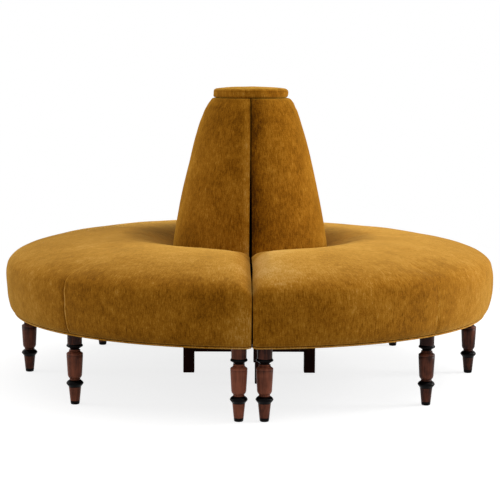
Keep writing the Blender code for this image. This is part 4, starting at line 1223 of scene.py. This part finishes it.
def make_floor():
    """A pale floor that shows white, with a soft shadow, and fades into the white behind."""
    mesh = bpy.data.meshes.new("floor")
    reach = 30.0
    corners = [(-reach, -reach, 0), (reach, -reach, 0), (reach, reach, 0), (-reach, reach, 0)]
    mesh.from_pydata(corners, [], [(0, 1, 2, 3)])
    floor = placed("floor", mesh)
    n = Nodes("floor_white")
    mesh.materials.append(n.finish({
        "Base Color": (0.55, 0.55, 0.55, 1.0),
        "Roughness": 0.9,
        "Specular IOR Level": 0.0,
    }))
    shadow = n.node("BsdfDiffuse", Color=(0.34, 0.34, 0.34, 1.0)).outputs[0]
    glow, white = (n.node("Emission", Strength=strength).outputs[0] for strength in (0.80, 1.0))
    shown = n.node("AddShader")
    n.link(shadow, shown.inputs[0])
    n.link(glow, shown.inputs[1])
    edge = n.node("MapRange", **{"Value": n.radius(), "From Min": 1.3, "From Max": 2.6})
    edge.interpolation_type = "SMOOTHSTEP"
    fade = mixed(n.tree, edge.outputs["Result"], shown.outputs[0], white)
    whole = mixed(n.tree, seen_rays(n.tree), n.shader.outputs[0], fade)
    output = next(node for node in n.tree.nodes if node.type == "OUTPUT_MATERIAL")
    n.link(whole, output.inputs["Surface"])


def make_stage():
    make_world()
    make_floor()
    for name, (place, size, power) in LAMPS.items():
        add_area(name, place, size, power)
    bpy.context.scene.view_settings.view_transform = "Standard"


# Putting it together


def place_half(piece, side):
    """Moves a piece shaped as the right half's to where its half stands."""
    shift = SEAM_SHIFT
    if side == "left":
        piece.data.transform(Matrix.Rotation(math.pi, 4, "Z"))
        shift = -SEAM_SHIFT
    piece.data.transform(Matrix.Translation((shift, 0.0, 0.0)))


def dress(piece, body, replaced):
    """Puts a piece on its body and hides the CAD nodes that it stands for."""
    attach(piece, body)
    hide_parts(*replaced)


def main():
    make_camera()
    make_stage()
    velvet_seat = velvet_material("velvet_seat", ring=0.78, tint=(1.0, 0.595, 0.130))
    velvet_back = velvet_material("velvet_back", ring=0.24, tint=(1.0, 0.54, 0.060))
    velvet_cap = velvet_material("velvet_cap", ring=0.12, tint=(1.0, 0.56, 0.080))
    lining = lining_material()
    walnut = wood_material("stained_walnut", *WALNUT_COLOURS, roughness=0.40, coat=0.03, specular=0.10)
    dark = wood_material("dark_stained", *DARK_COLOURS, roughness=0.55, coat=0.0, specular=0.03)
    ebony = ebony_material()
    foam_colours = ((0.3, (0.62, 0.52, 0.30)), (0.7, (0.85, 0.78, 0.58)))
    nylon_colours = ((0.3, (0.010, 0.010, 0.010)), (0.7, (0.022, 0.022, 0.022)))
    finishes = {
        "velvet": velvet_seat,
        "lining": cloth_material("dust_cloth", (0.004, 0.004, 0.004), (0.016, 0.015, 0.014), 0.0011),
        "foam": speckled_material("foam_block", (500.0, 3.0, 0.7), foam_colours, 0.95, (0.3, 0.001)),
        "plywood": ply_material(),
        "walnut": walnut,
        "dark_stain": dark,
        "jute": cloth_material("jute_webbing", (0.24, 0.16, 0.07), (0.50, 0.37, 0.20), 0.0022),
        "steel": metal_material(),
        "nylon": speckled_material("nylon_bush", (900.0, 2.0, 0.5), nylon_colours, 0.45, (0.1, 0.0003)),
    }
    slots = {row["node"]: row["material_slot"] for row in frame["record"]["subparts"]}
    for name, node in frame["nodes"].items():
        node.data.materials.clear()
        # The cap board gets the dark stain instead of plywood, so the gap under the cap shows dark: painted
        # shade.
        node.data.materials.append(dark if name == "cap_board" else finishes[slots[name]])

    for side in ("right", "left"):
        body = f"{side}_half"
        seat = make_seat(side, (velvet_seat, lining))
        place_half(seat, side)
        dress(seat, body, (f"{side}_seat_cover", f"{side}_seat_foam"))
        back = make_back(side, (velvet_back, lining))
        place_half(back, side)
        dress(back, body, (f"{side}_back_cover", f"{side}_back_foam"))
        cloth = make_dust_cover(side, finishes["lining"])
        place_half(cloth, side)
        dress(cloth, body, (f"{side}_dust_cover",))
        for number, tone in enumerate(LEG_PAINTED_LIGHT_AND_SHADE[side], 1):
            middle = middle_of(f"{side}_turned_leg_{number}")
            place = (middle.x, middle.y, 0.0)
            leg = make_leg(f"{side}_leg_{number}", place, 0.7 * number, tone, (walnut, ebony))
            dress(leg, body, (f"{side}_turned_leg_{number}",))
    dress(make_cap((velvet_cap,)), "cap", ("cap_cover", "cap_foam"))


main()
